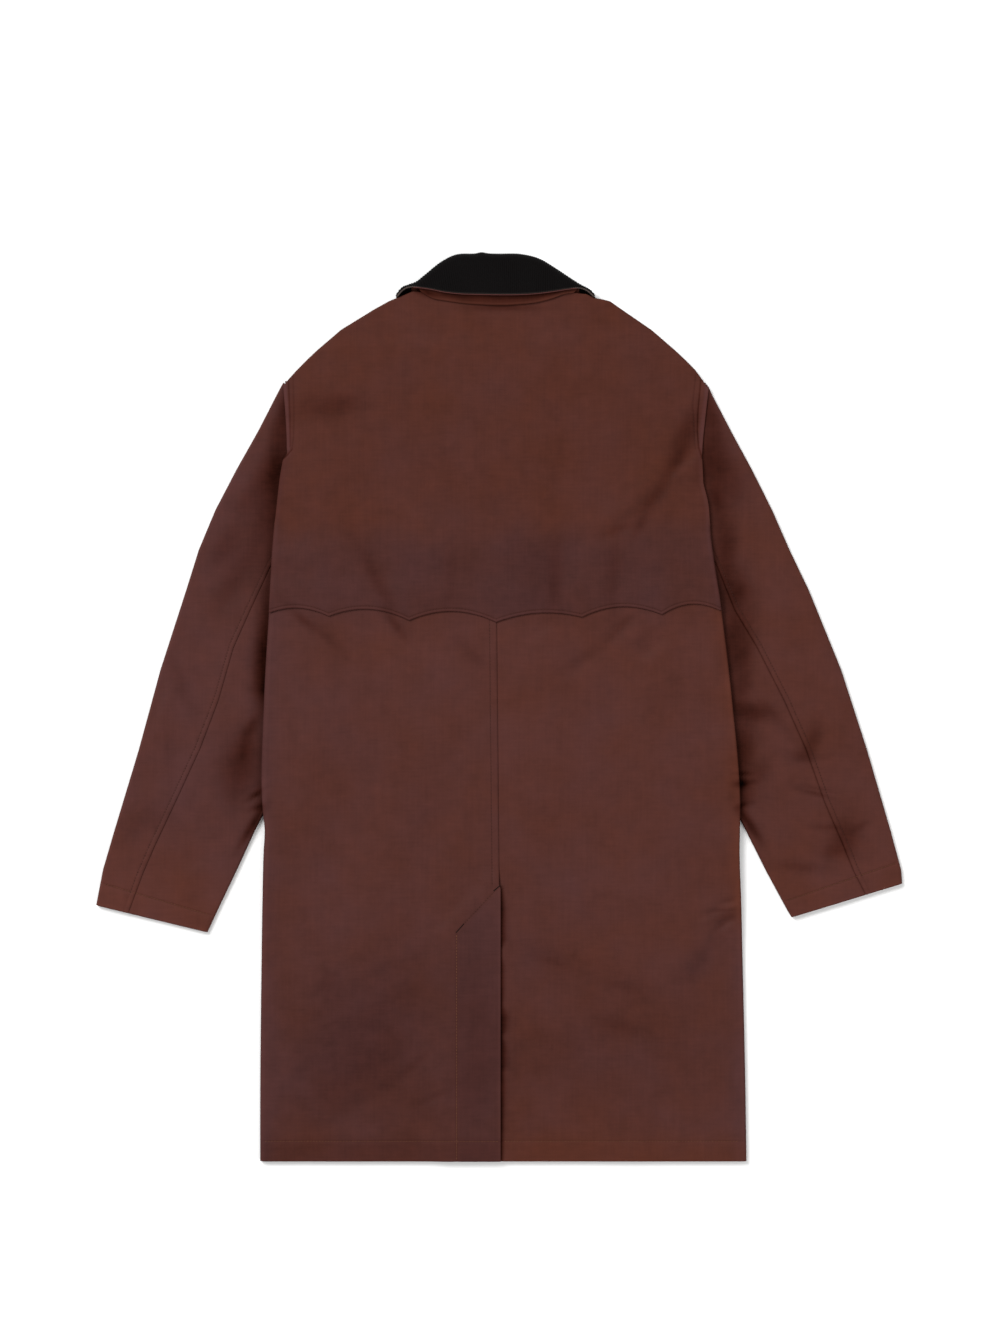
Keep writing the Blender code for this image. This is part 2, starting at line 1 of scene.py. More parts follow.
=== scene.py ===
# %% [markdown]
# # A waxed cotton coat, laid flat with its back up
#
# The coat lies face down on a pale table: a yoke over the shoulders, two back panels with a
# vent, two-piece sleeves tucked under the body and a collar of black corduroy. The solids of
# the pieces are loaded first. They fix every size and place. Each one is then replaced by a
# finer shell of cloth that follows the same tables, so it lies on its solid without fitting.

# %% Load the fixed frame
import math
from collections import namedtuple

import bmesh
import bpy
import numpy as np
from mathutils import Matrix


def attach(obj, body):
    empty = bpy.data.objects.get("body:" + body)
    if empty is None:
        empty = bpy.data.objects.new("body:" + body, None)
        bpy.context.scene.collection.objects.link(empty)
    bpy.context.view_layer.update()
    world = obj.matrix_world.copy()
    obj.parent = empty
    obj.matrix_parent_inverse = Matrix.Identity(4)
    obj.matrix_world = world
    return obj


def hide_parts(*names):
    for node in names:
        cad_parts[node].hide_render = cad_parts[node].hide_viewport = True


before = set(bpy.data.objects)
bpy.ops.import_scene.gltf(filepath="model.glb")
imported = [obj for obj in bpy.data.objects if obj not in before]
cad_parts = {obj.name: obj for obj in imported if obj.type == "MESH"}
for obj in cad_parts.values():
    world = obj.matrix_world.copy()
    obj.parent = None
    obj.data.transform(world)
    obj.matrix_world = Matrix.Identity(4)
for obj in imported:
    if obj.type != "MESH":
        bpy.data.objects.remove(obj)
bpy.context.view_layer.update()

print("solids to dress:", ", ".join(sorted(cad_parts)))

# %% [markdown]
# ## Sizes that the pieces were cut to
#
# A coat is drafted from a few measures: where the body's sides run, where the sleeves fold,
# where the yoke ends. They are short tables here, in millimetres, with one row for each height.
# Repeating them lets a shell be as fine as the picture needs and still lie on its solid.

# %% Layers, lengths and edges of the body
MM = 0.001
WALL = 1.9
FRONT_Z = 1.0
BACK_Z = 7.0
SLEEVE_TOP_Z = 6.5
SLEEVE_LOW_Z = 1.0
LAP_RISE = 2.5
FRONT_OVER_SLEEVE = 7.9
YOKE_OVER_CAP = 2.0
BACK_OVER_SLEEVE = 3.4
FRONT_OVER_COLLAR = 5.0
BACK_OVER_COLLAR = 2.3
FRONT_LAP_BUMP = 1.9
ROLL_GAP = 0.45
LEAST_ROLL = 1.4
ROLL_INSET = 3.0
SEAM_GAP = 0.3
ARMPIT_Y = 172.0
ARMHOLE_TOP_Y = 389.0
HEM_Y = -545.0
PANEL_TOP_Y = 132.0
SEAM_TOP_X = -4.0
SEAM_LOW_X = -1.0
VENT_TOP_Y = -215.0
VENT_CORNER_Y = -270.0
VENT_EDGE_X = 0.6
VENT_DEPTH_X = -53.0
VENT_GAPE = 1.5
VENT_GAPE_Y = -252.0
VENT_GAPE_LENGTH = 34.0
FRONT_LAP_LEFT = 25.0
FRONT_LAP_RIGHT = -20.0
MIDDLE_X = -0.93
MIDDLE_Y = -0.5
INWARD = {"left": 1, "right": -1}

Edge = namedtuple("Edge", "y left right")
BODY_EDGES = [Edge(*row) for row in (
    (-545, -287, 295), (-472, -287, 294), (-352, -286, 291.5), (-232, -284, 288.4),
    (-172, -282.4, 286.4), (-148, -281.2, 286.8), (-126, -283.4, 287.2), (8, -282, 277.4),
    (116, -276, 264.6), (208, -271, 252), (246, -267.4, 249.4), (257, -266.2, 246.8), (268, -265, 244),
    (278, -263.6, 243.4), (290, -261.5, 242.8), (297, -260, 242.4), (303, -256, 242.4),
    (312, -255.8, 242.8), (345, -257, 246), (386, -260.2, 250.8),
)]
SLEEVE_EDGES = [Edge(*row) for row in (
    (389, -259.3, 245.5), (384, -262.3, 249.8), (374, -267.5, 254.2), (332, -289, 276),
    (284, -316, 302), (236, -341, 326), (188, -361, 347), (140, -376, 370), (44, -407, 409),
    (-52, -433, 440), (-148, -462, 468), (-196, -476, 481), (-238, -484, 484),
)]
UNDERARMS = [Edge(*row) for row in (
    (172, -240, 231), (116, -246, 236), (56, -242, 236), (-4, -244, 242), (-64, -256, 257),
    (-115, -278, 279), (-148, -295, 296), (-196, -317, 320), (-244, -340, 346), (-270, -352, 362),
    (-345, -400, 410),
)]
SLEEVE_SEAMS = [Edge(*row) for row in (
    (224, -244, 234), (166, -277, 262), (116, -300, 282), (71, -320, 309), (8, -338, 341),
    (-50, -360, 367), (-115, -390, 390), (-166, -414, 412), (-198, -428, 425), (-247, -446, 450),
)]
Cuff = namedtuple("Cuff", "outer_y inner_y")
CUFFS = {"left": Cuff(-238, -270), "right": Cuff(-212, -252)}
print("hem", (BODY_EDGES[0].right - BODY_EDGES[0].left) / 10, "cm across")

# %% Yoke, neck and collar
Scallop = namedtuple("Scallop", "x y rise top_x")
SCALLOPS = [Scallop(*row) for row in (
    (-276, 113.5, 7.5, -260.2), (-205, 109, 11, -195), (-109, 104, 12, -104), (-5, 102, 8, -3),
    (98, 108, 11, 102), (194, 111, 10, 185), (265, 116, 0, 250),
)]
NeckEdge = namedtuple("NeckEdge", "x y")
LEFT_SHOULDER = [NeckEdge(*row) for row in (
    (-262, 386), (-244, 404), (-218, 428), (-190, 452), (-151, 476), (-133, 486), (-104, 498),
)]
BACK_NECK = [NeckEdge(*row) for row in (
    (-90, 497), (-72, 493), (-42, 489), (0, 487), (24, 488), (48, 491), (62, 495), (76, 498),
)]
RIGHT_SHOULDER = [NeckEdge(*row) for row in (
    (102, 495), (113, 489.6), (120, 488.6), (131, 486), (145, 476), (180, 452), (208, 428), (234, 404),
    (250, 384),
)]
SHOULDER = LEFT_SHOULDER + BACK_NECK + RIGHT_SHOULDER
FRONT_NECK_Y = 415
LEFT_FRONT_NECK = [NeckEdge(*row) for row in (
    (-99, 493.5), (-72, 451), (-38, 427), (-2.5, FRONT_NECK_Y), (FRONT_LAP_LEFT, FRONT_NECK_Y),
)]
RIGHT_FRONT_NECK = [NeckEdge(*row) for row in (
    (FRONT_LAP_RIGHT, FRONT_NECK_Y), (2.5, FRONT_NECK_Y), (38, 427), (70, 451), (95, 493),
)]
FRONT_TOP = {"left": LEFT_SHOULDER + LEFT_FRONT_NECK, "right": RIGHT_FRONT_NECK + RIGHT_SHOULDER}
CollarStation = namedtuple("CollarStation", "fold_x fold_y edge_x edge_y under_x under_y")
FALL_STATIONS = [CollarStation(*row) for row in (
    (-124.3, 492.9, -123.2, 491.9, -125, 491),
    (-121.6, 498, -119.4, 496.4, -124.2, 490),
    (-117.2, 503.6, -114, 500.8, -122.5, 484),
    (-110, 507.2, -106.4, 503, -115, 460),
    (-101.5, 510.2, -98.5, 502.9, -104, 428),
    (-91, 518.4, -85, 501.2, -76, 368),
    (-73, 533, -67, 497.6, -12, 398),
    (-56, 542, -49, 495.6, -12, 445),
    (-28, 544, -24, 494.8, -20, 522),
    (0, 544, 0, 494.4, 0, 533),
    (25, 543.6, 24, 494.6, 22, 522),
    (50, 537, 48, 496.2, 12, 445),
    (66, 527.4, 66, 498.6, 12, 398),
    (84, 515.4, 81, 500.9, 74, 368),
    (96, 507.6, 92, 501.7, 102, 428),
    (104.5, 503, 101, 500.2, 111, 460),
    (109.8, 498.6, 107.2, 496.4, 114.5, 484),
    (113.3, 492.9, 112.3, 491.8, 114.5, 490),
)]
STAND_STATIONS = [CollarStation(*row) for row in (
    (-99, 504, -96, 499.5, -99, 494.5),
    (-88, 513.5, -84, 492.5, -72, 452),
    (-70, 527.5, -66, 488.5, -38, 428),
    (-52, 534.5, -42, 485, -2.5, 416),
    (-36, 536.5, -20, 483.5, -2.5, 442),
    (-16, 536.5, -8, 483, -16, 520),
    (0, 536.5, 0, 483, 0, 529),
    (16, 536.5, 8, 483, 16, 520),
    (36, 534.5, 22, 484, 2.5, 442),
    (50, 530, 42, 486, 2.5, 416),
    (65, 521, 62, 491, 38, 428),
    (81, 509, 78, 496.5, 70, 452),
    (93, 501.5, 90, 498, 95, 494),
)]
print("body", (LEFT_SHOULDER[-1].y - HEM_Y) / 10, "cm long; yoke edge with", len(SCALLOPS) - 1, "scallops")

# %% [markdown]
# ## Reading the tables
#
# Shells have thousands of points, the largest about 32,000, so the helpers take whole arrays.
# A straight reading suits seams that were cut straight, and a smooth one suits the sides of the
# body and the collar.

# %% Helpers for curves
FAR_AWAY = 1e6


def soft_step(share):
    """Rise from 0 to 1 with level ends."""
    share = np.clip(share, 0.0, 1.0)
    return share * share * (3.0 - 2.0 * share)


def mix(start, end, share):
    return start + (end - start) * share


def ditch(distance, width):
    """1 on a line, falling off softly to both sides."""
    return np.exp(-(distance / width) ** 2)


def read_column(rows, name):
    """First column of a table, in order, and the named column beside it."""
    ordered = sorted(rows)
    places = np.array([row[0] for row in ordered], float)
    return places, np.array([getattr(row, name) for row in ordered], float)


def along(rows, name, at):
    """Read a column by straight lines between its rows."""
    places, values = read_column(rows, name)
    return np.interp(at, places, values)


def smooth_along(rows, name, at):
    """Read a column by a smooth curve through its rows."""
    places, values = read_column(rows, name)
    slopes = np.gradient(values, places)
    at = np.clip(at, places[0], places[-1])
    row = np.clip(np.searchsorted(places, at) - 1, 0, len(places) - 2)
    step = places[row + 1] - places[row]
    t = (at - places[row]) / step
    from_start = (1 + 2 * t) * (1 - t) ** 2 * values[row] + t * (1 - t) ** 2 * step * slopes[row]
    from_end = t * t * (3 - 2 * t) * values[row + 1] + t * t * (t - 1) * step * slopes[row + 1]
    return from_start + from_end


def distance_to(line, x, y):
    """Distance of each point from a line through a few marks."""
    nearest = np.full(np.shape(x), FAR_AWAY)
    for (x1, y1), (x2, y2) in zip(line, line[1:]):
        run_x, run_y = x2 - x1, y2 - y1
        t = np.clip(((x - x1) * run_x + (y - y1) * run_y) / (run_x ** 2 + run_y ** 2), 0, 1)
        nearest = np.minimum(nearest, np.hypot(x - x1 - t * run_x, y - y1 - t * run_y))
    return nearest


print("left side at the waist:", float(smooth_along(BODY_EDGES, "left", 8.0)), "mm")

# %% [markdown]
# ## Creases
#
# Waxed cotton is stiff and remembers how it was folded, so its creases are soft troughs with a
# low ridge on one side. Noise would give even ripples, which cloth doesn't have. Each crease is
# therefore given one by one: from where to where, how wide, how deep, and how far it bows. Some
# run in from the points of the yoke, some fan out from the hip, and the sleeves have short
# tucks where the body presses on them.

# %% Creases of the back, the sleeves and the hidden fronts
Crease = namedtuple("Crease", "x1 y1 x2 y2 width depth bow")
BACK_CREASES = [Crease(*row) for row in (
    (246, 352, 204, 276, 13, -2.2, 4), (126, 206, 206, 281, 9, -2.8, -8),
    (206, 272, 232, 290, 6, 1.3, 1), (-182, 214, -122, 112, 11, -1.8, 5),
    (-250, 352, -176, 364, 13, -1.4, 3), (70, 196, 66, 116, 15, -1.0, 2),
    (134, 186, 126, 118, 13, -0.8, -2), (-64, 206, -50, 120, 18, 0.7, 3),
    (-236, 108, -180, 56, 9, -1.8, 3), (-144, 114, -108, 72, 8, -1.8, 2),
    (-56, 84, -10, 40, 9, -1.3, -2), (159, 108, 125, 72, 8, -1.5, -2), (197, 88, 163, 57, 8, -1.3, 2),
    (121, 70, 72, 40, 9, -1.1, 3), (64, 104, 36, 84, 7, -1.0, 0), (212, 40, 184, -20, 16, -0.8, 4),
    (292, -230, 262, -236, 4, -2.2, 1), (292, -243, 240, -252, 4, -2.8, -2),
    (288, -252, 258, -268, 5, -2.4, -3), (292, -237, 266, -243, 2.5, 1.8, 0),
    (-240, -458, -84, -338, 20, -1.5, 8), (-228, -384, -118, -300, 15, -1.3, -6),
    (-124, -450, -82, -414, 5, -1.2, 1), (-104, -482, -58, -462, 4, -1.1, 1),
    (-216, -390, -192, -380, 4, -0.9, 1), (-206, -506, -124, -452, 10, -1.2, 3),
    (-160, -330, -120, -306, 5, -0.8, 1), (-226, -356, -206, -330, 6, -0.9, 1),
    (-262, -330, -196, -352, 12, -0.8, 2), (18, -286, 192, -348, 11, -1.9, 3),
    (222, -330, 272, -258, 12, -1.8, -4), (116, -374, 176, -394, 10, -1.5, -3),
    (30, -404, 110, -430, 16, -1.1, 4), (40, -420, 130, -440, 14, 0.8, 4),
    (-284, -150, -226, -186, 9, -1.0, 3), (-120, -70, -60, -160, 22, -0.8, 8),
    (96, -60, 150, -170, 22, -0.8, -8), (150, -484, 146, -534, 5, -0.7, 0),
    (171, -498, 173, -540, 4, 1.1, 0), (191, -486, 188, -534, 5, -0.8, 0),
    (216, -478, 213, -538, 3.5, 1.2, 1), (236, -488, 240, -534, 5, -0.7, 0),
    (-180, -496, -184, -534, 5, -0.6, 0), (-236, -490, -240, -534, 5, 0.6, 0),
    (-96, -500, -94, -534, 4, -0.6, 0), (-60, 440, 70, 424, 24, -0.8, 6),
    (120, 430, 170, 390, 16, -0.8, 3), (-120, 300, -30, 330, 22, 0.8, 8),
    (20, 300, 90, 270, 18, -0.7, 5),
)]
SLEEVE_CREASES = [Crease(*row) for row in (
    (-292, 196, -342, 112, 11, -1.4, 4), (-296, -18, -332, -102, 14, -2.1, -5),
    (-282, -98, -302, -112, 3, -2.0, 1), (-282, -117, -302, -126, 3, -1.6, 1),
    (-284, -90, -302, -92, 3, 1.0, 0), (-444, -112, -404, -152, 14, -1.1, 4),
    (-372, 96, -352, 10, 16, -1.3, 7), (-424, -40, -392, 30, 12, 1.1, -4),
    (-330, 250, -306, 190, 10, -1.1, 4), (-350, -170, -400, -196, 12, -1.1, 3),
    (-430, -190, -400, -226, 9, -0.8, 2), (276, 8, 322, 4, 4, 1.4, 1), (280, -8, 322, -12, 9, -2.0, -3),
    (282, -81, 306, -83, 2.5, -1.8, 1), (284, -92, 312, -94, 4, -2.4, 1),
    (286, -114, 308, -118, 3, -1.8, 0), (286, -103, 306, -104, 3, 1.1, 0),
    (338, -72, 396, -64, 4.5, -1.1, 2), (350, -97, 404, -106, 4, -2.4, 2),
    (352, -96, 392, -98, 4, 0.7, 1), (262, 150, 284, 144, 4, -1.3, 0),
    (404, -118, 436, -162, 12, -1.7, 4), (356, -20, 384, -52, 9, -1.3, 2),
    (420, 4, 400, -60, 13, 1.1, -4), (300, 240, 330, 180, 11, -1.1, 4),
    (352, 130, 384, 60, 15, -1.3, -6), (396, -176, 440, -190, 9, -1.0, 2),
)]
FRONT_CREASES = [Crease(*row) for row in (
    (-220, 60, -120, -20, 12, 1.0, 5), (-240, -260, -110, -330, 14, 0.9, -6),
    (-200, -450, -60, -410, 11, 0.8, 4), (-150, 260, -90, 160, 13, 0.9, 5),
    (210, 80, 120, -10, 12, 0.9, -5), (230, -180, 110, -280, 14, 1.0, 6),
    (190, -470, 70, -400, 11, 0.8, -4), (160, 250, 100, 140, 13, 0.9, -5),
    (-60, -120, 40, -180, 12, 0.7, 4), (60, 330, 140, 300, 11, 0.7, 3),
)]
print(len(BACK_CREASES) + len(SLEEVE_CREASES) + len(FRONT_CREASES), "creases placed by hand")

# %% Shape of a crease, and slack
CREASE_REACH = 1.3
CREASE_TAPER = 0.9
RIDGE_SHARE = 0.4
RIDGE_AWAY = 1.7
RIDGE_WIDTH = 1.2


def crease_height(creases, x, y):
    """Height that the creases add to the cloth: a trough each, with a low ridge beside it."""
    height = np.zeros(np.shape(x))
    for crease in creases:
        run_x, run_y = crease.x2 - crease.x1, crease.y2 - crease.y1
        length = math.hypot(run_x, run_y)
        t = ((x - crease.x1) * run_x + (y - crease.y1) * run_y) / length ** 2
        side = ((y - crease.y1) * run_x - (x - crease.x1) * run_y) / length
        inside = np.clip(t, 0, 1)
        across = (side - crease.bow * 4 * inside * (1 - inside)) / crease.width
        taper = soft_step((CREASE_REACH - np.abs(2 * t - 1)) / CREASE_TAPER)
        ridge = RIDGE_SHARE * ditch(across - RIDGE_AWAY, RIDGE_WIDTH)
        height += crease.depth * taper * (ditch(across, 1) - ridge)
    return height


def slack(x, y):
    """Slow unevenness of cloth that was laid down and not pressed, in waves that don't repeat."""
    broad = 0.5 * np.sin(x / 41 + 1.7 * np.sin(y / 67)) * np.sin(y / 53 + 0.6)
    return broad + 0.3 * np.sin(x / 23 + y / 37) * np.sin(y / 29 - x / 71)


print("deepest crease:", min(crease.depth for crease in BACK_CREASES), "mm")

# %% [markdown]
# ## How high each layer lies
#
# Laid out flat, the panels lie on each other: the fronts on the table, the back on the fronts,
# and near the sleeves both rise over them. The back may not sink into the fronts, so its
# creases are stopped just above the cloth below.

# %% Slopes, and what lies under the body
Slope = namedtuple("Slope", "end length")
Ramp = namedtuple("Ramp", "start length")
Mound = namedtuple("Mound", "x y half_width half_height reach fade")
ARMPIT_SLOPE = Slope(ARMPIT_Y + 53, 49)
COLLAR_MOUND = Mound(-5, 440, 140, 95, 2.2, 0.95)


def down(value, slope):
    """1 before a slope, falling softly to 0 at its end."""
    return soft_step((slope.end - value) / slope.length)


def climb(value, ramp):
    """0 up to the start of a ramp, rising softly to 1 over its length."""
    return soft_step((value - ramp.start) / ramp.length)


def underarm_x(y, hand):
    """Inner line of a sleeve: the armhole above the armpit, the inner fold below it."""
    share = np.clip((y - ARMPIT_Y) / (ARMHOLE_TOP_Y - ARMPIT_Y), 0, 1)
    armhole = mix(along(UNDERARMS, hand, ARMPIT_Y), along(SLEEVE_EDGES, hand, ARMHOLE_TOP_Y), share)
    return np.where(np.asarray(y) <= ARMPIT_Y, along(UNDERARMS, hand, y), armhole)


def inside_underarm(x, y, hand):
    return INWARD[hand] * (x - underarm_x(y, hand))


def over_sleeve(y):
    return down(y, ARMPIT_SLOPE)


def over_collar(x, y):
    mound = COLLAR_MOUND
    away = np.hypot((x - mound.x) / mound.half_width, (y - mound.y) / mound.half_height)
    return soft_step((mound.reach - away) / mound.fade)


print("left armhole at the armpit:", float(underarm_x(ARMPIT_Y, "left")), "mm")

# %% Heights of the fronts and the back
BACK_SLOPE = Slope(110, 86)
FRONT_SLOPE = Slope(100, 76)
BACK_NECK_SLOPE = Slope(455, 28)
FRONT_NECK_SLOPE = Slope(455, 25)
FRONT_BUMP_SLOPE = Slope(75, 35)
FRONT_BUMP_X = 8
FRONT_LAP_SLOPE = Slope(46, 18)
SIDE_FREE_RAMP = Ramp(3, 7)
LAYER_GAP = 0.2


def back_plain(x, y):
    """Middle of the back cloth with no crease and no lap."""
    over_fronts = down(np.abs(x - FRONT_BUMP_X), FRONT_BUMP_SLOPE) * down(y, BACK_NECK_SLOPE)
    lift = (BACK_OVER_COLLAR + FRONT_LAP_BUMP * over_fronts) * over_collar(x, y)
    for hand in INWARD:
        near = down(inside_underarm(x, y, hand), BACK_SLOPE)
        lift = np.maximum(lift, near * (YOKE_OVER_CAP + BACK_OVER_SLEEVE * over_sleeve(y)))
    return BACK_Z + lift


def front_plain(x, y):
    lift = FRONT_OVER_COLLAR * over_collar(x, y)
    for hand in INWARD:
        near = down(inside_underarm(x, y, hand), FRONT_SLOPE)
        lift = np.maximum(lift, near * FRONT_OVER_SLEEVE * over_sleeve(y))
    return FRONT_Z + lift


def roll_radius(x, y):
    """Radius of the quarter roll where back and front turn to meet each other."""
    return (back_plain(x, y) - front_plain(x, y)) / 2 - ROLL_GAP


def right_front_z(x, y):
    lapped = (LAP_RISE + LAYER_GAP) * down(x, FRONT_LAP_SLOPE)
    return front_plain(x, y) + lapped * down(y, FRONT_NECK_SLOPE)


def from_side(x, y):
    """Distance from the nearer side edge of the body."""
    left = x - smooth_along(BODY_EDGES, "left", y)
    return np.minimum(left, smooth_along(BODY_EDGES, "right", y) - x)


def back_z(x, y):
    """Back cloth with its creases, never sunk into the fronts."""
    free = climb(from_side(x, y), SIDE_FREE_RAMP)
    creased = back_plain(x, y) + free * (crease_height(BACK_CREASES, x, y) + slack(x, y))
    return np.maximum(creased, right_front_z(x, y) + WALL + LAYER_GAP)


print("back at the middle:", round(float(back_z(0.0, 0.0)), 2), "mm above the table")

# %% Heights of the laps and the sleeves
YOKE_LAP_SLOPE = Slope(PANEL_TOP_Y + 33, 31)
VENT_SLOPE = Slope(VENT_TOP_Y + 24, 20)
VENT_GAPE_RAMP = Ramp(-30, 30)
VENT_LAP_RAMP = Ramp(-34, 24)
VENT_LAP_RISE = LAP_RISE + 0.1
SLEEVE_DIP = 3.0
SLEEVE_DIP_WIDTH = 13
SLEEVE_DIP_SLOPE = Slope(330, 60)
SLEEVE_DIP_RAMP = Ramp(-140, 60)
SLEEVE_FREE_RAMP = Ramp(-2, 14)
CAP_RAMP = Ramp(300, 14)
CAP_EDGE_RAMP = Ramp(-8, 8)
CAP_OUT_RAMP = Ramp(0, 8)
CAP_LOW = 0.4
CAP_RISE = 1.3
CAP_WIDTH = 22


def over_panels(y):
    return down(y, YOKE_LAP_SLOPE)


def yoke_z(x, y):
    return back_z(x, y) + LAP_RISE * over_panels(y)


def centre_seam_x(y):
    return mix(SEAM_LOW_X, SEAM_TOP_X, (y - VENT_TOP_Y) / (SCALLOPS[3].y - VENT_TOP_Y))


def underlap_x(y):
    """Hidden edge of the right back panel: the centre seam, then out under the vent."""
    share = np.clip((VENT_TOP_Y - y) / (VENT_TOP_Y - VENT_CORNER_Y), 0, 1)
    return np.where(y >= VENT_TOP_Y, centre_seam_x(y), mix(SEAM_LOW_X, VENT_DEPTH_X, share))


def lapped_z(x, y):
    """The left back panel rises over the right one at the vent."""
    gape = VENT_GAPE * ditch(y - VENT_GAPE_Y, VENT_GAPE_LENGTH) * climb(x, VENT_GAPE_RAMP)
    lapped = VENT_LAP_RISE * climb(x - underlap_x(y), VENT_LAP_RAMP)
    return back_z(x, y) + gape + lapped * down(y, VENT_SLOPE)


def sleeve_z(x, y):
    """Upper cloth of a sleeve; it dips beside the body and keeps flat under it."""
    out = -from_side(x, y)
    beside = np.maximum(out, 0)
    dip = SLEEVE_DIP * ditch(beside, SLEEVE_DIP_WIDTH) * down(y, SLEEVE_DIP_SLOPE)
    dip = dip * climb(y, SLEEVE_DIP_RAMP)
    free = climb(out, SLEEVE_FREE_RAMP)
    raised = crease_height(SLEEVE_CREASES, x, y) + 0.8 * slack(x, y)
    cap = climb(y, CAP_RAMP) * (CAP_LOW + CAP_RISE * climb(out, CAP_OUT_RAMP)) * ditch(beside, CAP_WIDTH)
    return SLEEVE_TOP_Z + free * raised - dip + cap * climb(out, CAP_EDGE_RAMP)


print("yoke over the panels:", round(float(yoke_z(0.0, PANEL_TOP_Y)), 2), "mm above the table")

# %% [markdown]
# ## Where wax and light have changed the colour
#
# Waxed cotton darkens where the wax lies thick, blooms to a cooler tone where wax has come to the
# surface, and pales where an edge is worn. The same marks also carry painted light: painted shade
# in creases and grooves, under the yoke and the collar and beside the body, painted highlights
# along folded edges, and a painted sheen over the yoke's lap. They are stored in the mesh as named
# attributes that the material reads. The alternative, a painted picture, would need an image.

# %% Dark patches of wax and painted shade, and cool patches
Patch = namedtuple("Patch", "x y angle length width depth")
# Dark patches: darker wax, and painted shade in creases, under the collar and on the sleeves beside the
# body.
WAX_AND_SHADE_PATCHES = [Patch(*row) for row in (
    (-206, 360, 8, 96, 40, 0.26), (-184, 366, 0, 40, 26, 0.1), (224, 330, 62, 90, 30, 0.34),
    (213, 296, 54, 60, 20, 0.26), (186, 250, 50, 76, 24, 0.3), (144, 214, 20, 56, 14, 0.2),
    (168, 218, 58, 44, 16, 0.2), (-92, 496, -18, 34, 8, 0.5), (232, 276, 70, 60, 24, 0.08),
    (-146, 150, -62, 124, 20, 0.16), (66, 156, 88, 110, 24, 0.16), (136, 158, 86, 100, 24, 0.18),
    (-60, 160, 86, 100, 20, 0.08), (44, 165, 88, 90, 60, 0.05), (2, 479, 0, 110, 10, 0.4),
    (-4, 490, 0, 200, 11, 0.1), (-236, 104, -40, 50, 14, 0.3), (-206, 82, -42, 80, 18, 0.2),
    (-124, 96, -52, 56, 14, 0.32), (-34, 62, -44, 66, 20, 0.18), (142, 92, 46, 60, 16, 0.22),
    (172, 84, 40, 56, 16, 0.16), (96, 56, 32, 70, 20, 0.14), (198, 10, 68, 90, 44, 0.1),
    (-90, -120, 64, 150, 60, 0.06), (-160, -390, 40, 320, 200, 0.26), (-84, -480, 30, 240, 110, 0.14),
    (-206, -330, 70, 60, 36, 0.12), (-110, -306, 34, 110, 24, 0.06), (-180, -454, 34, 200, 80, 0.1),
    (-104, -432, 40, 60, 14, 0.08), (-26, -400, 90, 330, 70, 0.13), (60, -304, -18, 90, 18, 0.16),
    (150, -336, -18, 100, 20, 0.17), (140, -384, -16, 70, 22, 0.1), (240, -306, 52, 90, 30, 0.16),
    (140, -400, -4, 340, 170, 0.14), (60, -310, -30, 150, 60, 0.08), (40, -430, 0, 100, 60, 0.08),
    (272, -250, 14, 44, 12, 0.3), (266, -262, 30, 30, 8, 0.25), (-282, 240, 82, 240, 40, 0.36),
    (-288, 60, 86, 200, 26, 0.3), (-312, -74, 76, 108, 58, 0.58), (-299, -24, 58, 46, 18, 0.36),
    (-318, 206, 58, 120, 60, 0.2), (-320, 146, 60, 116, 46, 0.28), (-381, 24, -70, 84, 22, 0.2),
    (-398, -60, -86, 76, 18, 0.14), (-440, -140, 42, 60, 34, 0.16), (-414, -136, 42, 60, 30, 0.12),
    (-293, -105, 36, 28, 9, 0.5), (-292, -121, 20, 26, 9, 0.4), (-294, -138, 58, 50, 15, 0.7),
    (-307, -158, 58, 50, 12, 0.4), (-270, 300, 84, 80, 26, 0.2), (-288, 272, 64, 76, 40, 0.24),
    (-308, 246, 60, 50, 30, 0.16), (-268, 336, 78, 60, 22, 0.18), (-334, 186, 60, 64, 36, 0.18),
    (-306, -50, 70, 40, 22, 0.26), (312, -80, 60, 54, 26, 0.26), (290, 152, 80, 64, 24, 0.18),
    (280, 112, 84, 50, 22, 0.14), (264, 290, 100, 88, 48, 0.48), (260, 250, 96, 40, 20, 0.28),
    (284, 262, 70, 80, 40, 0.22), (258, 344, 104, 70, 26, 0.3), (264, 222, 84, 56, 28, 0.16),
    (274, 200, 84, 70, 34, 0.4), (274, 156, 92, 74, 34, 0.42), (288, 138, 30, 44, 30, 0.3),
    (287, 92, 72, 100, 42, 0.5), (294, 62, 70, 56, 30, 0.34), (294, 28, 80, 60, 26, 0.32),
    (306, -6, -9, 58, 32, 0.5), (295, -48, 88, 90, 36, 0.45), (330, -10, -50, 90, 14, 0.14),
    (289, -92, 0, 26, 12, 0.6), (292, -80, 0, 28, 6, 0.3), (298, -108, 0, 50, 36, 0.22),
    (296, -136, -52, 46, 16, 0.7), (308, -154, -54, 40, 13, 0.36), (290, -118, 20, 20, 9, 0.4),
    (374, -43, 72, 64, 28, 0.38), (358, -58, -8, 40, 18, 0.26), (378, -104, -14, 58, 8, 0.36),
    (414, -156, 86, 62, 52, 0.46), (398, -174, 6, 42, 24, 0.26), (434, -142, 30, 30, 12, 0.2),
    (388, -144, 0, 46, 9, 0.24), (360, -192, -4, 76, 18, 0.3),
)]
COOL_PATCHES = [Patch(*row) for row in (
    (-190, -390, 40, 320, 200, 0.2), (-26, -360, 90, 330, 64, 0.25), (140, -430, 0, 340, 90, 0.1),
    (60, -230, 80, 160, 120, 0.2), (240, -306, 52, 110, 40, 0.3), (-246, 40, 90, 130, 64, 0.2),
    (-60, 330, 20, 220, 110, 0.2), (-42, 226, 0, 120, 70, 0.3), (-126, 392, 60, 100, 70, 0.25),
    (-162, -410, 30, 200, 110, 0.22), (-130, 66, 0, 130, 64, -0.25),
)]
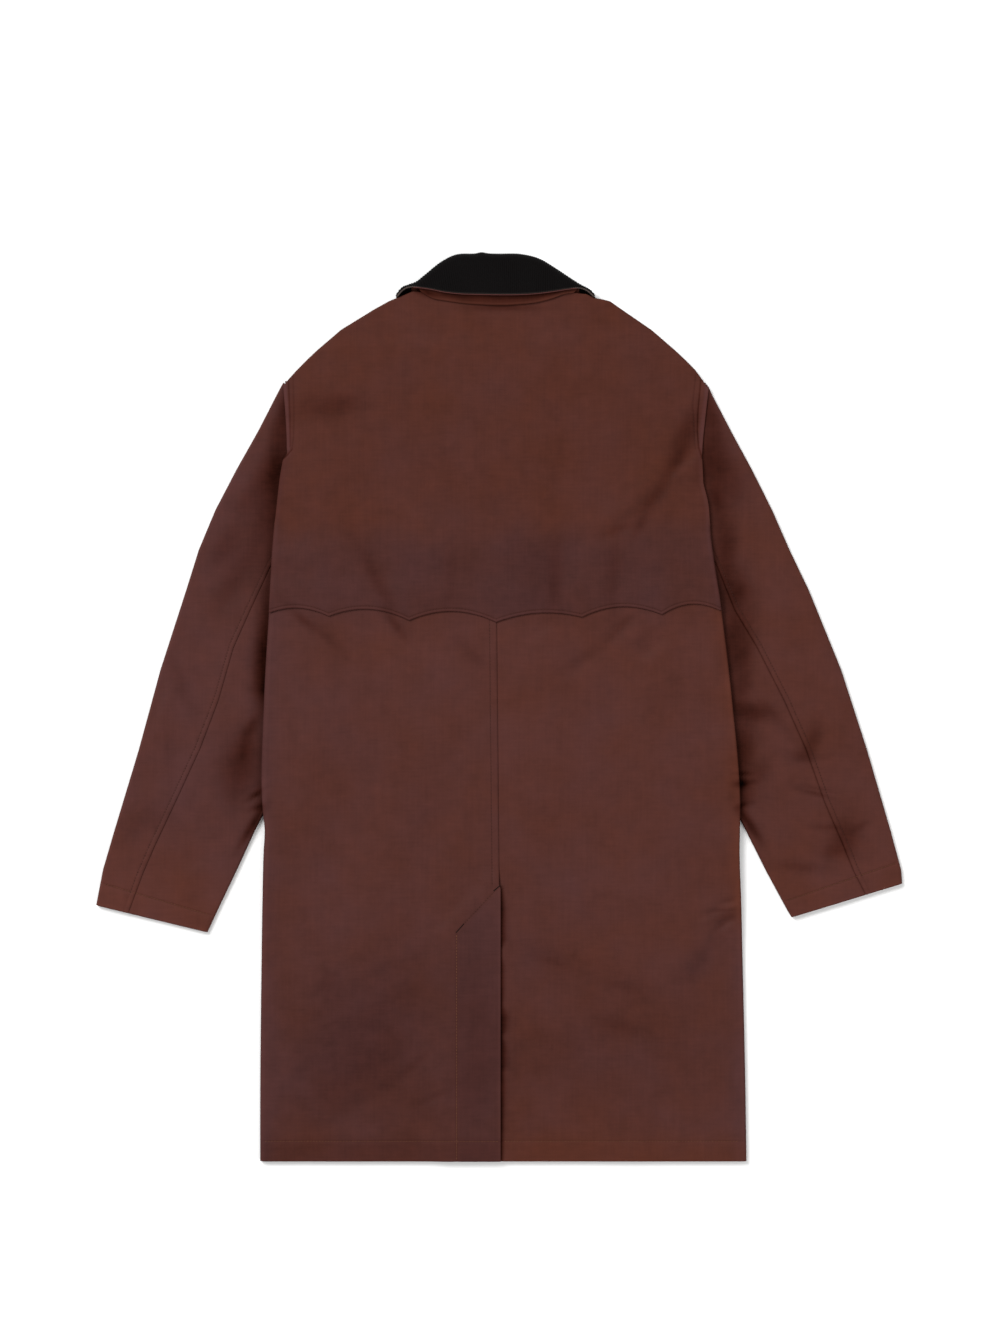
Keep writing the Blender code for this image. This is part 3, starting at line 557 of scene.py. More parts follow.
TuckShade = namedtuple("TuckShade", "y left left_reach right right_reach")
TUCK_SHADES = [TuckShade(*row) for row in (
    (388, 0.1, 6, 0.1, 5), (362, 0.5, 9, 0.36, 10), (320, 0.5, 13, 0.4, 18), (270, 0.52, 13, 0.36, 22),
    (224, 0.46, 11, 0.28, 20), (190, 0.38, 9, 0.28, 20), (150, 0.38, 9, 0.26, 18),
    (116, 0.56, 11, 0.26, 16), (66, 0.78, 14, 0.26, 18), (20, 0.8, 13, 0.42, 16), (4, 0.45, 9, 0.4, 14),
    (-14, 0.14, 8, 0.36, 14), (-60, 0.1, 8, 0.4, 15), (-88, 0.2, 8, 0.5, 13), (-104, 0.5, 9, 0.5, 12),
    (-118, 0.6, 9, 0.44, 11), (-150, 0.0, 6, 0.0, 6),
)]
PATCH_FADE = 1.6


def patch_depth(patches, x, y):
    """How deep the patches tint each point; every patch is an oval that fades at its rim."""
    depth = np.zeros(np.shape(x))
    for patch in patches:
        angle = math.radians(patch.angle)
        run = (x - patch.x) * math.cos(angle) + (y - patch.y) * math.sin(angle)
        side = (y - patch.y) * math.cos(angle) - (x - patch.x) * math.sin(angle)
        away = (2 * run / patch.length) ** 2 + (2 * side / patch.width) ** 2
        depth += patch.depth * np.exp(-PATCH_FADE * away)
    return depth


print(len(WAX_AND_SHADE_PATCHES), "dark and", len(COOL_PATCHES), "cool patches")

# %% [markdown]
# ## Materials
#
# One helper adds a node and one sets or links inputs, so each material reads from top to bottom.
# Colours are written as the sRGB hex values that a picture editor shows, and one function
# turns them to the linear values that the renderer works with.

# %% Colour and node helpers
def linear(hex_colour):
    """sRGB hex to linear red, green, blue and a full alpha."""
    parts = [int(hex_colour[i:i + 2], 16) / 255 for i in (1, 3, 5)]
    return tuple(c / 12.92 if c <= 0.04045 else ((c + 0.055) / 1.055) ** 2.4 for c in parts) + (1.0,)


def set_inputs(tree, node, inputs):
    """Link each input that is given as a socket, and set any other."""
    for name, value in inputs.items():
        if isinstance(value, bpy.types.NodeSocket):
            tree.links.new(value, node.inputs[name])
        else:
            node.inputs[name].default_value = value


def add_node(tree, kind, settings=None, inputs=None):
    """Add a node with its settings and inputs."""
    node = tree.nodes.new(kind)
    for name, value in (settings or {}).items():
        setattr(node, name, value)
    set_inputs(tree, node, inputs or {})
    return node


def new_material(name):
    material = bpy.data.materials.new(name)
    material.use_nodes = True
    return material, material.node_tree, material.node_tree.nodes["Principled BSDF"]


print("brown #53302A in linear values:", [round(c, 4) for c in linear("#53302A")])

# %% [markdown]
# ### Waxed cotton
#
# A close plain weave of cotton, dyed brown and soaked in wax. The threads are about 0.45 mm
# apart, less than half a pixel, so what shows is the slub: thick stretches of weft, drawn as
# noise pulled out to 24 by 2.4 mm, about four times coarser than the real ones, and streaks of
# 70 mm along the warp. The wax fills the weave, which gives a dull, close sheen, clouds of
# darker and lighter brown, and a cool bloom. The IOR of wax and cotton is about 1.45. One loop
# adds up the tone: how much each noise and each stored mark lightens or darkens the dye.

# %% Waxed cotton material
COTTON_WARM = "#49251B"
COTTON_COOL = "#422624"
COTTON_DEEP_AND_SHADED = "#4A2016"
SLUB_LENGTH = 24 * MM
SLUB_WIDTH = 2.4 * MM
STREAK_LENGTH = 70 * MM
CLOUD_SIZE = 80 * MM
MOTTLE_SIZE = 17 * MM
PLAIN_TONE = 0.5
WAX_IOR = 1.45


def make_waxed_cotton():
    material, tree, shader = new_material("waxed_cotton_plain_weave")
    place = add_node(tree, "ShaderNodeTexCoord").outputs["Object"]
    weft_place = add_node(tree, "ShaderNodeMapping", {}, {
        "Vector": place, "Scale": (1 / SLUB_LENGTH, 1 / SLUB_WIDTH, 1 / SLUB_WIDTH)}).outputs["Vector"]
    warp_place = add_node(tree, "ShaderNodeMapping", {}, {
        "Vector": place, "Scale": (1 / SLUB_WIDTH, 1 / STREAK_LENGTH, 1 / SLUB_WIDTH)}).outputs["Vector"]
    weft, warp, cloud, mottle = (
        add_node(tree, "ShaderNodeTexNoise", {}, {
            "Vector": vector, "Scale": scale, "Detail": detail, "Roughness": fine}).outputs["Fac"]
        for vector, scale, detail, fine in (
            (weft_place, 1.0, 3.0, 0.6), (warp_place, 1.0, 2.0, 0.5),
            (place, 1 / CLOUD_SIZE, 3.0, 0.55), (place, 1 / MOTTLE_SIZE, 4.0, 0.6)))
    dark, cool, wear_and_highlight = (
        add_node(tree, "ShaderNodeAttribute", {"attribute_name": mark}).outputs["Fac"]
        for mark in ("wax_dark_and_shade", "wax_bloom_and_sheen", "worn_and_highlit_edge"))

    # The stored marks darken the tone with painted shade as well as dark wax, and lighten it with painted
    # highlights as well as wear.
    tone = PLAIN_TONE
    for layer, strength in (
            (weft, 0.22), (warp, 0.16), (cloud, 0.3), (mottle, 0.42), (dark, -0.95), (wear_and_highlight, 0.8)):
        tone = add_node(tree, "ShaderNodeMath", {"operation": "MULTIPLY_ADD"}, {
            0: layer, 1: strength, 2: tone}).outputs[0]
    # The cool mix also carries the painted sheen over the yoke's lap.
    bloom = add_node(tree, "ShaderNodeMath", {"operation": "MULTIPLY_ADD"}, {
        0: cloud, 1: 1.2, 2: -0.6}).outputs[0]
    bloom = add_node(tree, "ShaderNodeMath", {"operation": "ADD", "use_clamp": True}, {
        0: bloom, 1: cool}).outputs[0]
    # Where the cloth is darkened, by wax or by painted shade, the dye turns deeper.
    deep = add_node(tree, "ShaderNodeMapRange", {}, {
        "Value": dark, "From Min": 0.16, "From Max": 1.0}).outputs["Result"]
    dye = add_node(tree, "ShaderNodeMix", {"data_type": "RGBA"}, {
        0: bloom, 6: linear(COTTON_WARM), 7: linear(COTTON_COOL)}).outputs[2]
    dye = add_node(tree, "ShaderNodeMix", {"data_type": "RGBA"}, {
        0: deep, 6: dye, 7: linear(COTTON_DEEP_AND_SHADED)}).outputs[2]
    colour = add_node(tree, "ShaderNodeVectorMath", {"operation": "SCALE"}, {
        0: dye, "Scale": tone}).outputs[0]
    rough = add_node(tree, "ShaderNodeMapRange", {}, {
        "Value": mottle, "From Min": 0.3, "From Max": 0.7, "To Min": 0.52, "To Max": 0.7}).outputs["Result"]
    threads = add_node(tree, "ShaderNodeMath", {"operation": "ADD"}, {0: weft, 1: warp}).outputs[0]
    bump = add_node(tree, "ShaderNodeBump", {}, {
        "Height": threads, "Strength": 0.25, "Distance": 0.5 * MM}).outputs["Normal"]
    # The gloss drops where shade is painted, so painted shade shows no grey sheen.
    gloss = add_node(tree, "ShaderNodeMapRange", {}, {
        "Value": dark, "From Min": 0.0, "From Max": 0.8, "To Min": 0.06, "To Max": 0.01}).outputs["Result"]
    set_inputs(tree, shader, {
        "Base Color": colour, "Roughness": rough, "Normal": bump, "Specular IOR Level": gloss,
        "IOR": WAX_IOR})
    return material


waxed_cotton = make_waxed_cotton()
print("made", waxed_cotton.name, "with", len(waxed_cotton.node_tree.nodes), "nodes")

# %% [markdown]
# ### Corduroy
#
# Cotton velvet with its pile cut in rows. The rows are real ridges in the mesh, about ten to
# the inch. The pile swallows light, so the valleys are painted a deeper black as shade, and the
# tips catch a little grey at a slant, which is what the shader's sheen stands for. Along the free
# edge, most at the tips, the pile is painted grey, partly as rubbed pile and partly as a painted
# highlight, which a stored mark tells the material. The pile itself is finer than a pixel, so its
# noise is drawn at 1.6 mm, several times coarser than the real tufts.

# %% Black corduroy material
CORD_CREST = "#0F0D0D"
CORD_VALLEY_SHADE = "#040303"
CORD_RUBBED_AND_LIT = "#75655F"
PILE_SIZE = 1.6 * MM
COTTON_IOR = 1.45


def make_corduroy():
    material, tree, shader = new_material("black_corduroy_cut_pile")
    place = add_node(tree, "ShaderNodeTexCoord").outputs["Object"]
    pile = add_node(tree, "ShaderNodeTexNoise", {}, {
        "Vector": place, "Scale": 1 / PILE_SIZE, "Detail": 3.0, "Roughness": 0.7}).outputs["Fac"]
    brushed = add_node(tree, "ShaderNodeTexNoise", {}, {
        "Vector": place, "Scale": 1 / CLOUD_SIZE, "Detail": 2.0}).outputs["Fac"]
    # The valleys are painted a deeper black as shade, the crests lighter.
    crest = add_node(tree, "ShaderNodeAttribute", {"attribute_name": "wale_crest"}).outputs["Fac"]
    share = add_node(tree, "ShaderNodeMath", {"operation": "MULTIPLY"}, {0: crest, 1: pile}).outputs[0]
    share = add_node(tree, "ShaderNodeMath", {"operation": "MULTIPLY_ADD", "use_clamp": True}, {
        0: brushed, 1: 0.3, 2: share}).outputs[0]
    dye = add_node(tree, "ShaderNodeMix", {"data_type": "RGBA"}, {
        0: share, 6: linear(CORD_VALLEY_SHADE), 7: linear(CORD_CREST)}).outputs[2]
    # The free edge is painted grey: rubbed pile and a painted highlight.
    rubbed_and_lit = add_node(tree, "ShaderNodeAttribute", {"attribute_name": "worn_and_highlit_edge"}).outputs["Fac"]
    dye = add_node(tree, "ShaderNodeMix", {"data_type": "RGBA"}, {
        0: rubbed_and_lit, 6: dye, 7: linear(CORD_RUBBED_AND_LIT)}).outputs[2]
    bump = add_node(tree, "ShaderNodeBump", {}, {
        "Height": pile, "Strength": 0.5, "Distance": 0.4 * MM}).outputs["Normal"]
    set_inputs(tree, shader, {
        "Base Color": dye, "Normal": bump, "Roughness": 0.92, "IOR": COTTON_IOR,
        "Specular IOR Level": 0.04, "Sheen Weight": 0.03, "Sheen Roughness": 0.5})
    return material


corduroy = make_corduroy()
print("made", corduroy.name)

# %% [markdown]
# ### Sewing thread
#
# Spun polyester, twisted from two plies and dyed a shade darker than the cloth. The thread of
# hem and cuffs has faded to a lighter brown and that of the vent towards tan, and the tacks are
# nearly black. The twist is drawn as noise of its own length, 1.2 mm.

# %% Thread materials
TWIST_LENGTH = 1.2 * MM
THREAD_IOR = 1.5


def make_thread(name, hex_dark, hex_light):
    material, tree, shader = new_material(name)
    place = add_node(tree, "ShaderNodeTexCoord").outputs["Object"]
    twist = add_node(tree, "ShaderNodeTexNoise", {}, {
        "Vector": place, "Scale": 1 / TWIST_LENGTH, "Detail": 1.0}).outputs["Fac"]
    dye = add_node(tree, "ShaderNodeMix", {"data_type": "RGBA"}, {
        0: twist, 6: linear(hex_dark), 7: linear(hex_light)}).outputs[2]
    set_inputs(tree, shader, {
        "Base Color": dye, "Roughness": 0.65, "IOR": THREAD_IOR, "Specular IOR Level": 0.1})
    return material


brown_thread = make_thread("brown_spun_thread", "#2A1512", "#4A2A22")
hem_thread = make_thread("light_brown_thread", "#4C2C1F", "#6A432F")
tan_thread = make_thread("faded_tan_thread", "#523120", "#774E39")
tack_thread = make_thread("dark_tack_thread", "#0A0504", "#1A0D0A")
print("made", brown_thread.name, hem_thread.name, tan_thread.name, tack_thread.name)

# %% [markdown]
# ## From a grid to a piece of cloth
#
# A piece of cloth is a sheet, so each shell starts as a grid. Its points are placed by the
# same formulas as the solid's, only closer together, and a Solidify modifier gives it a wall.
# Cloth simulation could drape it, but the coat lies on a table and its layers are thin, so
# placing the points keeps them apart more surely. The grid is finer along edges and stitching.

# %% Add a piece and measure its cut
triangles = {}


def add_piece(name, mesh, finish):
    """Show a finished mesh as a smooth piece in its material."""
    mesh.polygons.foreach_set("use_smooth", np.ones(len(mesh.polygons), bool))
    mesh.materials.append(finish)
    piece = bpy.data.objects.new(name, mesh)
    bpy.context.scene.collection.objects.link(piece)
    return piece


def flat_size(grid, area, held):
    """Cut width and length: longest row and column, or for folded cloth its middle row and its area."""
    rows = np.linalg.norm(np.diff(grid, axis=1), axis=2).sum(1)
    columns = np.linalg.norm(np.diff(grid, axis=0), axis=2).sum(0)
    if held == "folded":
        return np.median(rows), area / np.median(rows)
    return rows.max(), columns.max()


print("pieces so far:", len(triangles))

# %% Lay one piece of cloth
def lay_cloth(name, node, columns, rows, place, finish, wall=WALL, held="laid"):
    columns, rows = np.asarray(columns, float), np.asarray(rows, float)
    shape = bmesh.new()
    bmesh.ops.create_grid(shape, x_segments=len(columns) - 1, y_segments=len(rows) - 1, size=0.5)
    mesh = bpy.data.meshes.new(name)
    shape.to_mesh(mesh)
    shape.free()
    spots = np.empty(3 * len(mesh.vertices), np.float32)
    mesh.vertices.foreach_get("co", spots)
    column = np.rint((spots[0::3] + 0.5) * (len(columns) - 1)).astype(int)
    row = np.rint((spots[1::3] + 0.5) * (len(rows) - 1)).astype(int)
    x, y, z, marks = place(columns[column].T, rows[row].T)
    points = np.stack((x - MIDDLE_X, y - MIDDLE_Y, z), 1) * MM
    mesh.vertices.foreach_set("co", points.astype(np.float32).ravel())
    for mark, values in marks.items():
        mesh.attributes.new(mark, "FLOAT", "POINT").data.foreach_set("value", values.astype(np.float32))
    piece = add_piece(name, mesh, finish)
    thicken = piece.modifiers.new("cloth wall", "SOLIDIFY")
    thicken.thickness = wall * MM
    thicken.offset = 0.0
    grid = np.empty((len(rows), len(columns), 3))
    grid[row, column] = points
    area = sum(face.area for face in mesh.polygons)
    width, length = flat_size(grid, area, held)
    rim_faces = 2 * (len(columns) + len(rows) - 2)
    triangles[name] = 4 * len(mesh.polygons) + 2 * rim_faces
    cut = f"cut {width * 1000:.0f} x {length * 1000:.0f} mm, {area * 1e4:.0f} cm2"
    print(f"{name}: {cut}, {triangles[name]} triangles")
    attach(piece, "root")
    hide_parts(node)


def wax_marks(x, y, dark=0.0, wear_and_highlight=0.0, cool=0.0):
    """Attributes at each point: dark wax and painted shade, bloom and painted sheen, wear and painted
    highlights.
    """
    return {
        "wax_dark_and_shade": np.clip(patch_depth(WAX_AND_SHADE_PATCHES, x, y) + dark, 0, 1),
        "wax_bloom_and_sheen": np.clip(patch_depth(COOL_PATCHES, x, y) + cool, 0, 1),
        "worn_and_highlit_edge": np.clip(wear_and_highlight + np.zeros(np.shape(x)), 0, 1),
    }


print("usual wall of the cloth:", WALL, "mm")

# %% [markdown]
# ## The yoke
#
# The yoke covers both shoulders and is lapped over the back panels. Its lower edge is cut in
# six scallops, turned under and stitched 3.5 mm from the edge. Above the armpits its sides are
# the armhole seams, pressed towards the body. A deep groove runs beside each of them, and next
# to it a faint one with the stitches. Columns that follow the scallops keep their points sharp.

# %% Edges and grooves of the yoke
YOKE_STITCH = 3.5
ARMHOLE_LINES = {
    "left": (((-253.5, 392), (-252, 345), (-251.5, 312)),
             ((-248, 398), (-247, 350), (-247.5, 325), (-249.5, 309))),
    "right": (((241, 392), (237.6, 356), (237, 332), (238.5, 311)),
              ((234.7, 398), (231, 362), (234.7, 309))),
}
ARMHOLE_DEPTHS = {"left": (0.7, 0.3), "right": (1.0, 0.35)}
ARMHOLE_NOTCHES = (((-249.5, 309), (-255, 302), (-260, 297.5)), ((238.5, 311), (242.3, 299)))
GROOVE_WIDTH = 1.1
NOTCH_WIDTH = 1.2


def scallop_edge(share):
    """Lower edge of the yoke and the shoulder place above it, at a share of the width."""
    x, y, rise, top_x = np.array(SCALLOPS, float).T
    p = np.clip(share, 0, 1) * (len(SCALLOPS) - 1)
    this = np.minimum(p.astype(int), len(SCALLOPS) - 2)
    t = p - this
    low_y = mix(y[this], y[this + 1], t) + rise[this] * (1 - (2 * t - 1) ** 2)
    return mix(x[this], x[this + 1], t), low_y, mix(top_x[this], top_x[this + 1], t)


def armhole_ditch(x, y):
    depth = np.zeros(np.shape(x))
    for hand, lines in ARMHOLE_LINES.items():
        for line, share in zip(lines, ARMHOLE_DEPTHS[hand]):
            depth = np.maximum(depth, share * ditch(distance_to(line, x, y), GROOVE_WIDTH))
    for notch in ARMHOLE_NOTCHES:
        depth = np.maximum(depth, ditch(distance_to(notch, x, y), NOTCH_WIDTH))
    return depth


def outside_neck(x):
    """Distance along the shoulders from the nearer end of the neck, below 0 inside it."""
    return np.maximum(LEFT_SHOULDER[-1].x - x, x - RIGHT_SHOULDER[0].x)


print("armholes with", sum(len(lines) for lines in ARMHOLE_LINES.values()), "grooves")

# %% Marks on the yoke
SHEEN_BAND_TOP_Y = 231.0
SHEEN_BAND_FADE = 52.0
ARMHOLE_LIGHT_RAMP = Ramp(296, 16)
SIDE_LIGHT_RAMP = Ramp(112, 30)
YOKE_DARK = 0.11


def yoke_marks(x, y, stitch, rim, armhole, lit_lower_edge):
    """Painted shade in grooves and at the turned edge, painted highlights on the edges, painted sheen on
    the lap.
    """
    # A cooler, slightly darker band over the lower yoke: painted sheen and shade.
    waver = 5 * np.sin(x / 31 + 0.7) + 3 * np.sin(x / 12.3) + 6 * np.sin(x / 83 - 1)
    uneven = 0.62 + 0.28 * ditch(x - 10, 150) + 0.1 * np.sin(x / 23)
    band = soft_step((SHEEN_BAND_TOP_Y + waver - y) / SHEEN_BAND_FADE) * uneven
    # rim_light: a painted highlight along the armhole edges, paler and cooler.
    from_edge = from_side(x, y)
    rim_share = mix(0.14, 0.4, climb(y, ARMHOLE_LIGHT_RAMP))
    rim_light = rim_share * ditch(from_edge - 2.2, 2.4) + 0.07 * ditch(from_edge, 11)
    wear_and_highlight = 0.16 * lit_lower_edge + rim_light * climb(y, SIDE_LIGHT_RAMP)
    # Painted shade in the stitch groove, at the turned edge and in the armhole grooves.
    dark = YOKE_DARK + 0.16 * stitch + 0.15 * rim + 0.5 * armhole + 0.08 * band
    return wax_marks(x, y, dark, wear_and_highlight, 0.24 + 0.76 * band + 2.0 * rim_light)


print("band of bloom up to", SHEEN_BAND_TOP_Y, "mm")

# %% Yoke
LAP_ROWS = (0, 0.5, 1.1, 1.8, 2.5, 3.0, 3.5, 4.0, 4.6, 5.5, 7, 9, 11.5, 14, 17, 20, 23, 26.5, 30, 33)
YOKE_BODY_ROWS = 118
ROLL_TURNS = np.arange(90, 0, -15)
STEPS_A_SCALLOP = 31
HALVED_STEPS = 9
SQUEEZE = 30.0
TIP_FADE = 25.0
NECK_FADE = 8.0
YOKE_TURN_SLOPE = Slope(230, 40)
YOKE_RIM = 1.4


def yoke_place(column, row):
    share, turn = column
    above, done, top_turn = row
    low_x, low_y, top_x = scallop_edge(share)
    top_y = along(SHOULDER, "y", top_x)
    top_roll = roll_radius(top_x, top_y)
    edge = np.maximum(top_roll, LEAST_ROLL)
    top_angle = np.radians(top_turn)
    flat_y = mix(low_y + above, top_y - edge, done)
    y = np.where(top_turn > 0, top_y - edge * (1 - np.sin(top_angle)), flat_y)
    from_tip = np.minimum(top_x - LEFT_SHOULDER[0].x, RIGHT_SHOULDER[-1].x - top_x)
    turning = top_roll * soft_step(from_tip / TIP_FADE) * soft_step(outside_neck(top_x) / NECK_FADE)
    drop = turning * (1 - np.cos(top_angle))
    up = (y - low_y) / (top_y - low_y)
    left = smooth_along(BODY_EDGES, "left", y)
    right = smooth_along(BODY_EDGES, "right", y)
    left_off = left - mix(SCALLOPS[0].x, SCALLOPS[0].top_x, up)
    right_off = right - mix(SCALLOPS[-1].x, SCALLOPS[-1].top_x, up)
    x = mix(low_x, top_x, up) + mix(left_off, right_off, share)
    left_roll = roll_radius(left + ROLL_INSET, y)
    right_roll = roll_radius(right - ROLL_INSET, y)
    left_room = np.maximum(left_roll, LEAST_ROLL)
    right_room = np.maximum(right_roll, LEAST_ROLL)
    x = x + left_room * np.clip(1 - (x - left) / SQUEEZE, 0, 1)
    x = x - right_room * np.clip(1 - (right - x) / SQUEEZE, 0, 1)
    angle = np.radians(turn)
    x = np.where((turn > 0) & (share < 0.5), left + left_room * (1 - np.sin(angle)), x)
    x = np.where((turn > 0) & (share > 0.5), right - right_room * (1 - np.sin(angle)), x)
    turned = down(y, YOKE_TURN_SLOPE) * (1 - 0.7 * over_panels(y))
    drop = drop + turned * np.where(share < 0.5, left_roll, right_roll) * (1 - np.cos(angle))
    low_part = done == 0
    stitch = low_part * ditch(above - YOKE_STITCH, 0.9)
    rim = low_part * soft_step((YOKE_RIM - above) / YOKE_RIM)
    armhole = armhole_ditch(x, y)
    z = yoke_z(x, y) - drop - 0.35 * stitch - 0.5 * rim - 0.5 * armhole
    # A painted highlight just inside the folded lower edge.
    lit_lower_edge = low_part * ditch(above - YOKE_RIM, 0.9)
    return x, y, z, yoke_marks(x, y, stitch, rim, armhole, lit_lower_edge)


shares = np.linspace(0, 1, STEPS_A_SCALLOP * (len(SCALLOPS) - 1) + 1)
halves = (shares[1:] + shares[:-1]) / 2
shares = np.union1d(shares, np.concatenate((halves[:HALVED_STEPS], halves[-HALVED_STEPS:])))
yoke_columns = [(0, turn) for turn in ROLL_TURNS]
yoke_columns += [(share, 0) for share in shares]
yoke_columns += [(1, turn) for turn in ROLL_TURNS[::-1]]
yoke_rows = [(above, 0, 0) for above in LAP_ROWS]
yoke_rows += [(LAP_ROWS[-1], done, 0) for done in np.linspace(0, 1, YOKE_BODY_ROWS + 1)[1:]]
yoke_rows += [(LAP_ROWS[-1], 1, turn) for turn in ROLL_TURNS[::-1]]
lay_cloth("yoke_cloth", "back_yoke", yoke_columns, yoke_rows, yoke_place, waxed_cotton)

# %% [markdown]
# ## The back panels
#
# Two panels are joined by a felled seam down the middle: the seam's edge shows as a line and a
# row of stitches runs 8.4 mm to its left. Below the seam is the vent, with the left panel
# lapped over the right and its folded edge free down to the hem. A diagonal row of stitches
# holds the top of the lap, and an upright row runs from its end to the hem. The hem is turned
# up 24 mm and stitched. Columns and rows are set close along the seam, the upright row and the
# hem.

# %% Lines and rows of the back panels
SEAM_STITCH = 8.4
HEM_STITCH_Y = HEM_Y + 24
VENT_STITCH_X = -52.0
VENT_STITCHES = (
    (SEAM_LOW_X, VENT_TOP_Y), (VENT_DEPTH_X, VENT_CORNER_Y),
    (VENT_STITCH_X, VENT_CORNER_Y - 3), (VENT_STITCH_X, HEM_Y + 1))
HEM_RIM = 1.6
HEM_TURN_SLOPE = Slope(HEM_STITCH_Y + 2, 6)
VENT_RIM = 1.5
SEAM_END_RAMP = Ramp(-3, 6)
HIDDEN_RAMP = Ramp(92, 4)
HIDDEN_ROOM = 0.2
FELL_SLOPE = Slope(103, 6)
VentShade = namedtuple("VentShade", "y reach")
VENT_SHADES = [VentShade(*row) for row in (
    (-215, 2.0), (-226, 4.2), (-244, 5.8), (-278, 6.4), (-290, 1.8), (-300, 2.2), (-312, 4.4),
    (-345, 4.2), (-358, 3.0), (-371, 8.5), (-386, 7.2), (-396, 3.6), (-408, 6.4), (-428, 6.6),
    (-440, 4.4), (-456, 5.6), (-500, 4.6), (-545, 3.6),
)]
NEAR_STITCH = (-6, -4, -2.6, -1.6, -0.8, 0, 0.8, 1.6, 2.6, 4, 6)
NEAR_SEAM = (12, 10.4, 9.6, 9.0, 8.4, 7.8, 7.2, 6.4, 5, 3.6, 2.4, 1.4, 0.7, 0.3, 0)
hem_rows = [HEM_Y + rise for rise in (0, 0.6, 1.4, 2.6, 4.5, 7.5, 11, 14.5, 18, 20.5, 22)]
hem_rows += [HEM_STITCH_Y + step for step in (-1.2, -0.6, 0, 0.6, 1.2, 2.2, 4)]
panel_rows = np.concatenate((hem_rows, np.linspace(HEM_STITCH_Y + 7, PANEL_TOP_Y, 218)))[:, None]


def above_vent(y):
    return climb(y - VENT_TOP_Y, SEAM_END_RAMP)


def seam_room(y):
    """Half the gap at the centre seam, wider where the yoke hides it."""
    return SEAM_GAP / 2 + HIDDEN_ROOM * climb(y, HIDDEN_RAMP)


def panel_lines(x, y, hand):
    """Grooves that stitching and seams press into a back panel."""
    hem = ditch(y - HEM_STITCH_Y, 1.0)
    seam = ditch(x - centre_seam_x(y), 1.1) * above_vent(y)
    if hand == "right":
        return np.maximum(hem, seam)
    beside = 0.7 * ditch(x - centre_seam_x(y) + SEAM_STITCH, 0.9) * above_vent(y)
    vent = 0.6 * ditch(distance_to(VENT_STITCHES, x, y), 1.2)
    return np.maximum.reduce((hem, seam, beside, vent))


def panel_surface(x, y, hand):
    """Middle of the cloth of a back panel with its grooves."""
    height = lapped_z(x, y) if hand == "left" else back_z(x, y)
    hem_turn = 0.5 * down(y, HEM_TURN_SLOPE)
    seam_part = above_vent(y) * down(y, FELL_SLOPE) * (hand == "left")
    fell = 0.5 * soft_step((x - centre_seam_x(y) + SEAM_STITCH + 2) / 4) * seam_part
    rim = soft_step((HEM_RIM - (y - HEM_Y)) / HEM_RIM)
    return height + hem_turn + fell - 0.45 * panel_lines(x, y, hand) - 0.6 * rim


print(len(panel_rows), "rows of points from hem to yoke")

# %% Marks on the back panels
PANEL_LINE_DARK = 0.24
PANEL_BLOOM = {"left": 0.6, "right": 0.48}
SIDE_BLOOM = {"left": 0.4, "right": -0.4}
LOW_SIDE_BLOOM = 0.5
HEM_BLOOM = {"left": 0.8, "right": 0.2}
SIDE_LIGHTER = {"left": 0.05, "right": 0.09}
SIDE_BLOOM_RAMP = Ramp(-330, 110)
HEM_BLOOM_RAMP = Ramp(10, 40)
HEM_DARK_SLOPE = Slope(HEM_STITCH_Y + 14, 24)
SHADE_UNDER_YOKE_RAMP = Ramp(90, 14)


def panel_marks(x, y, hand, from_edge, free_edge):
    """Painted shade in grooves, under the yoke and beside the vent, pale edges of wear and painted
    highlight, and bloom.
    """
    below = 1 - above_vent(y)
    # Pale lines along the hem, the vent's free edge and the sides: wear and painted highlight on the folds.
    wear_and_highlight = 0.1 * ditch(y - HEM_Y - 1.2, 1.3) + 0.18 * below * ditch(free_edge - 1.4, 1.3)
    wear_and_highlight = wear_and_highlight + 0.14 * ditch(from_edge - 2.0, 2.4) + SIDE_LIGHTER[hand] * ditch(from_edge, 11)
    beside_vent = ditch(np.maximum(x - VENT_EDGE_X, 0), along(VENT_SHADES, "reach", y))
    vent_shadow = 0.8 * below * beside_vent * (hand == "right")
    lap = soft_step((x - underlap_x(y)) / 5) * below * (hand == "left")
    hem_dark = 0.17 * down(y, HEM_DARK_SLOPE) * (hand == "left")
    hem_faint = 0.7 * PANEL_LINE_DARK * ditch(y - HEM_STITCH_Y, 1.0)
    # Painted shade just below the yoke's edge.
    shade_under_yoke = 0.06 * climb(y, SHADE_UNDER_YOKE_RAMP)
    # The seam, stitch and hem lines are painted shade in their grooves.
    dark = PANEL_LINE_DARK * panel_lines(x, y, hand) - hem_faint + vent_shadow + hem_dark
    dark = dark + 0.05 * lap + shade_under_yoke
    up_from_hem = mix(HEM_BLOOM[hand], 1.0, climb(y - HEM_Y, HEM_BLOOM_RAMP))
    by_side = mix(LOW_SIDE_BLOOM, SIDE_BLOOM[hand], climb(y, SIDE_BLOOM_RAMP)) * ditch(from_edge, 16)
    return wax_marks(x, y, dark, wear_and_highlight, PANEL_BLOOM[hand] * up_from_hem + 0.2 * lap + by_side)


print("bloom of the panels:", PANEL_BLOOM)

# %% Back panels
EDGE_STEPS = 72


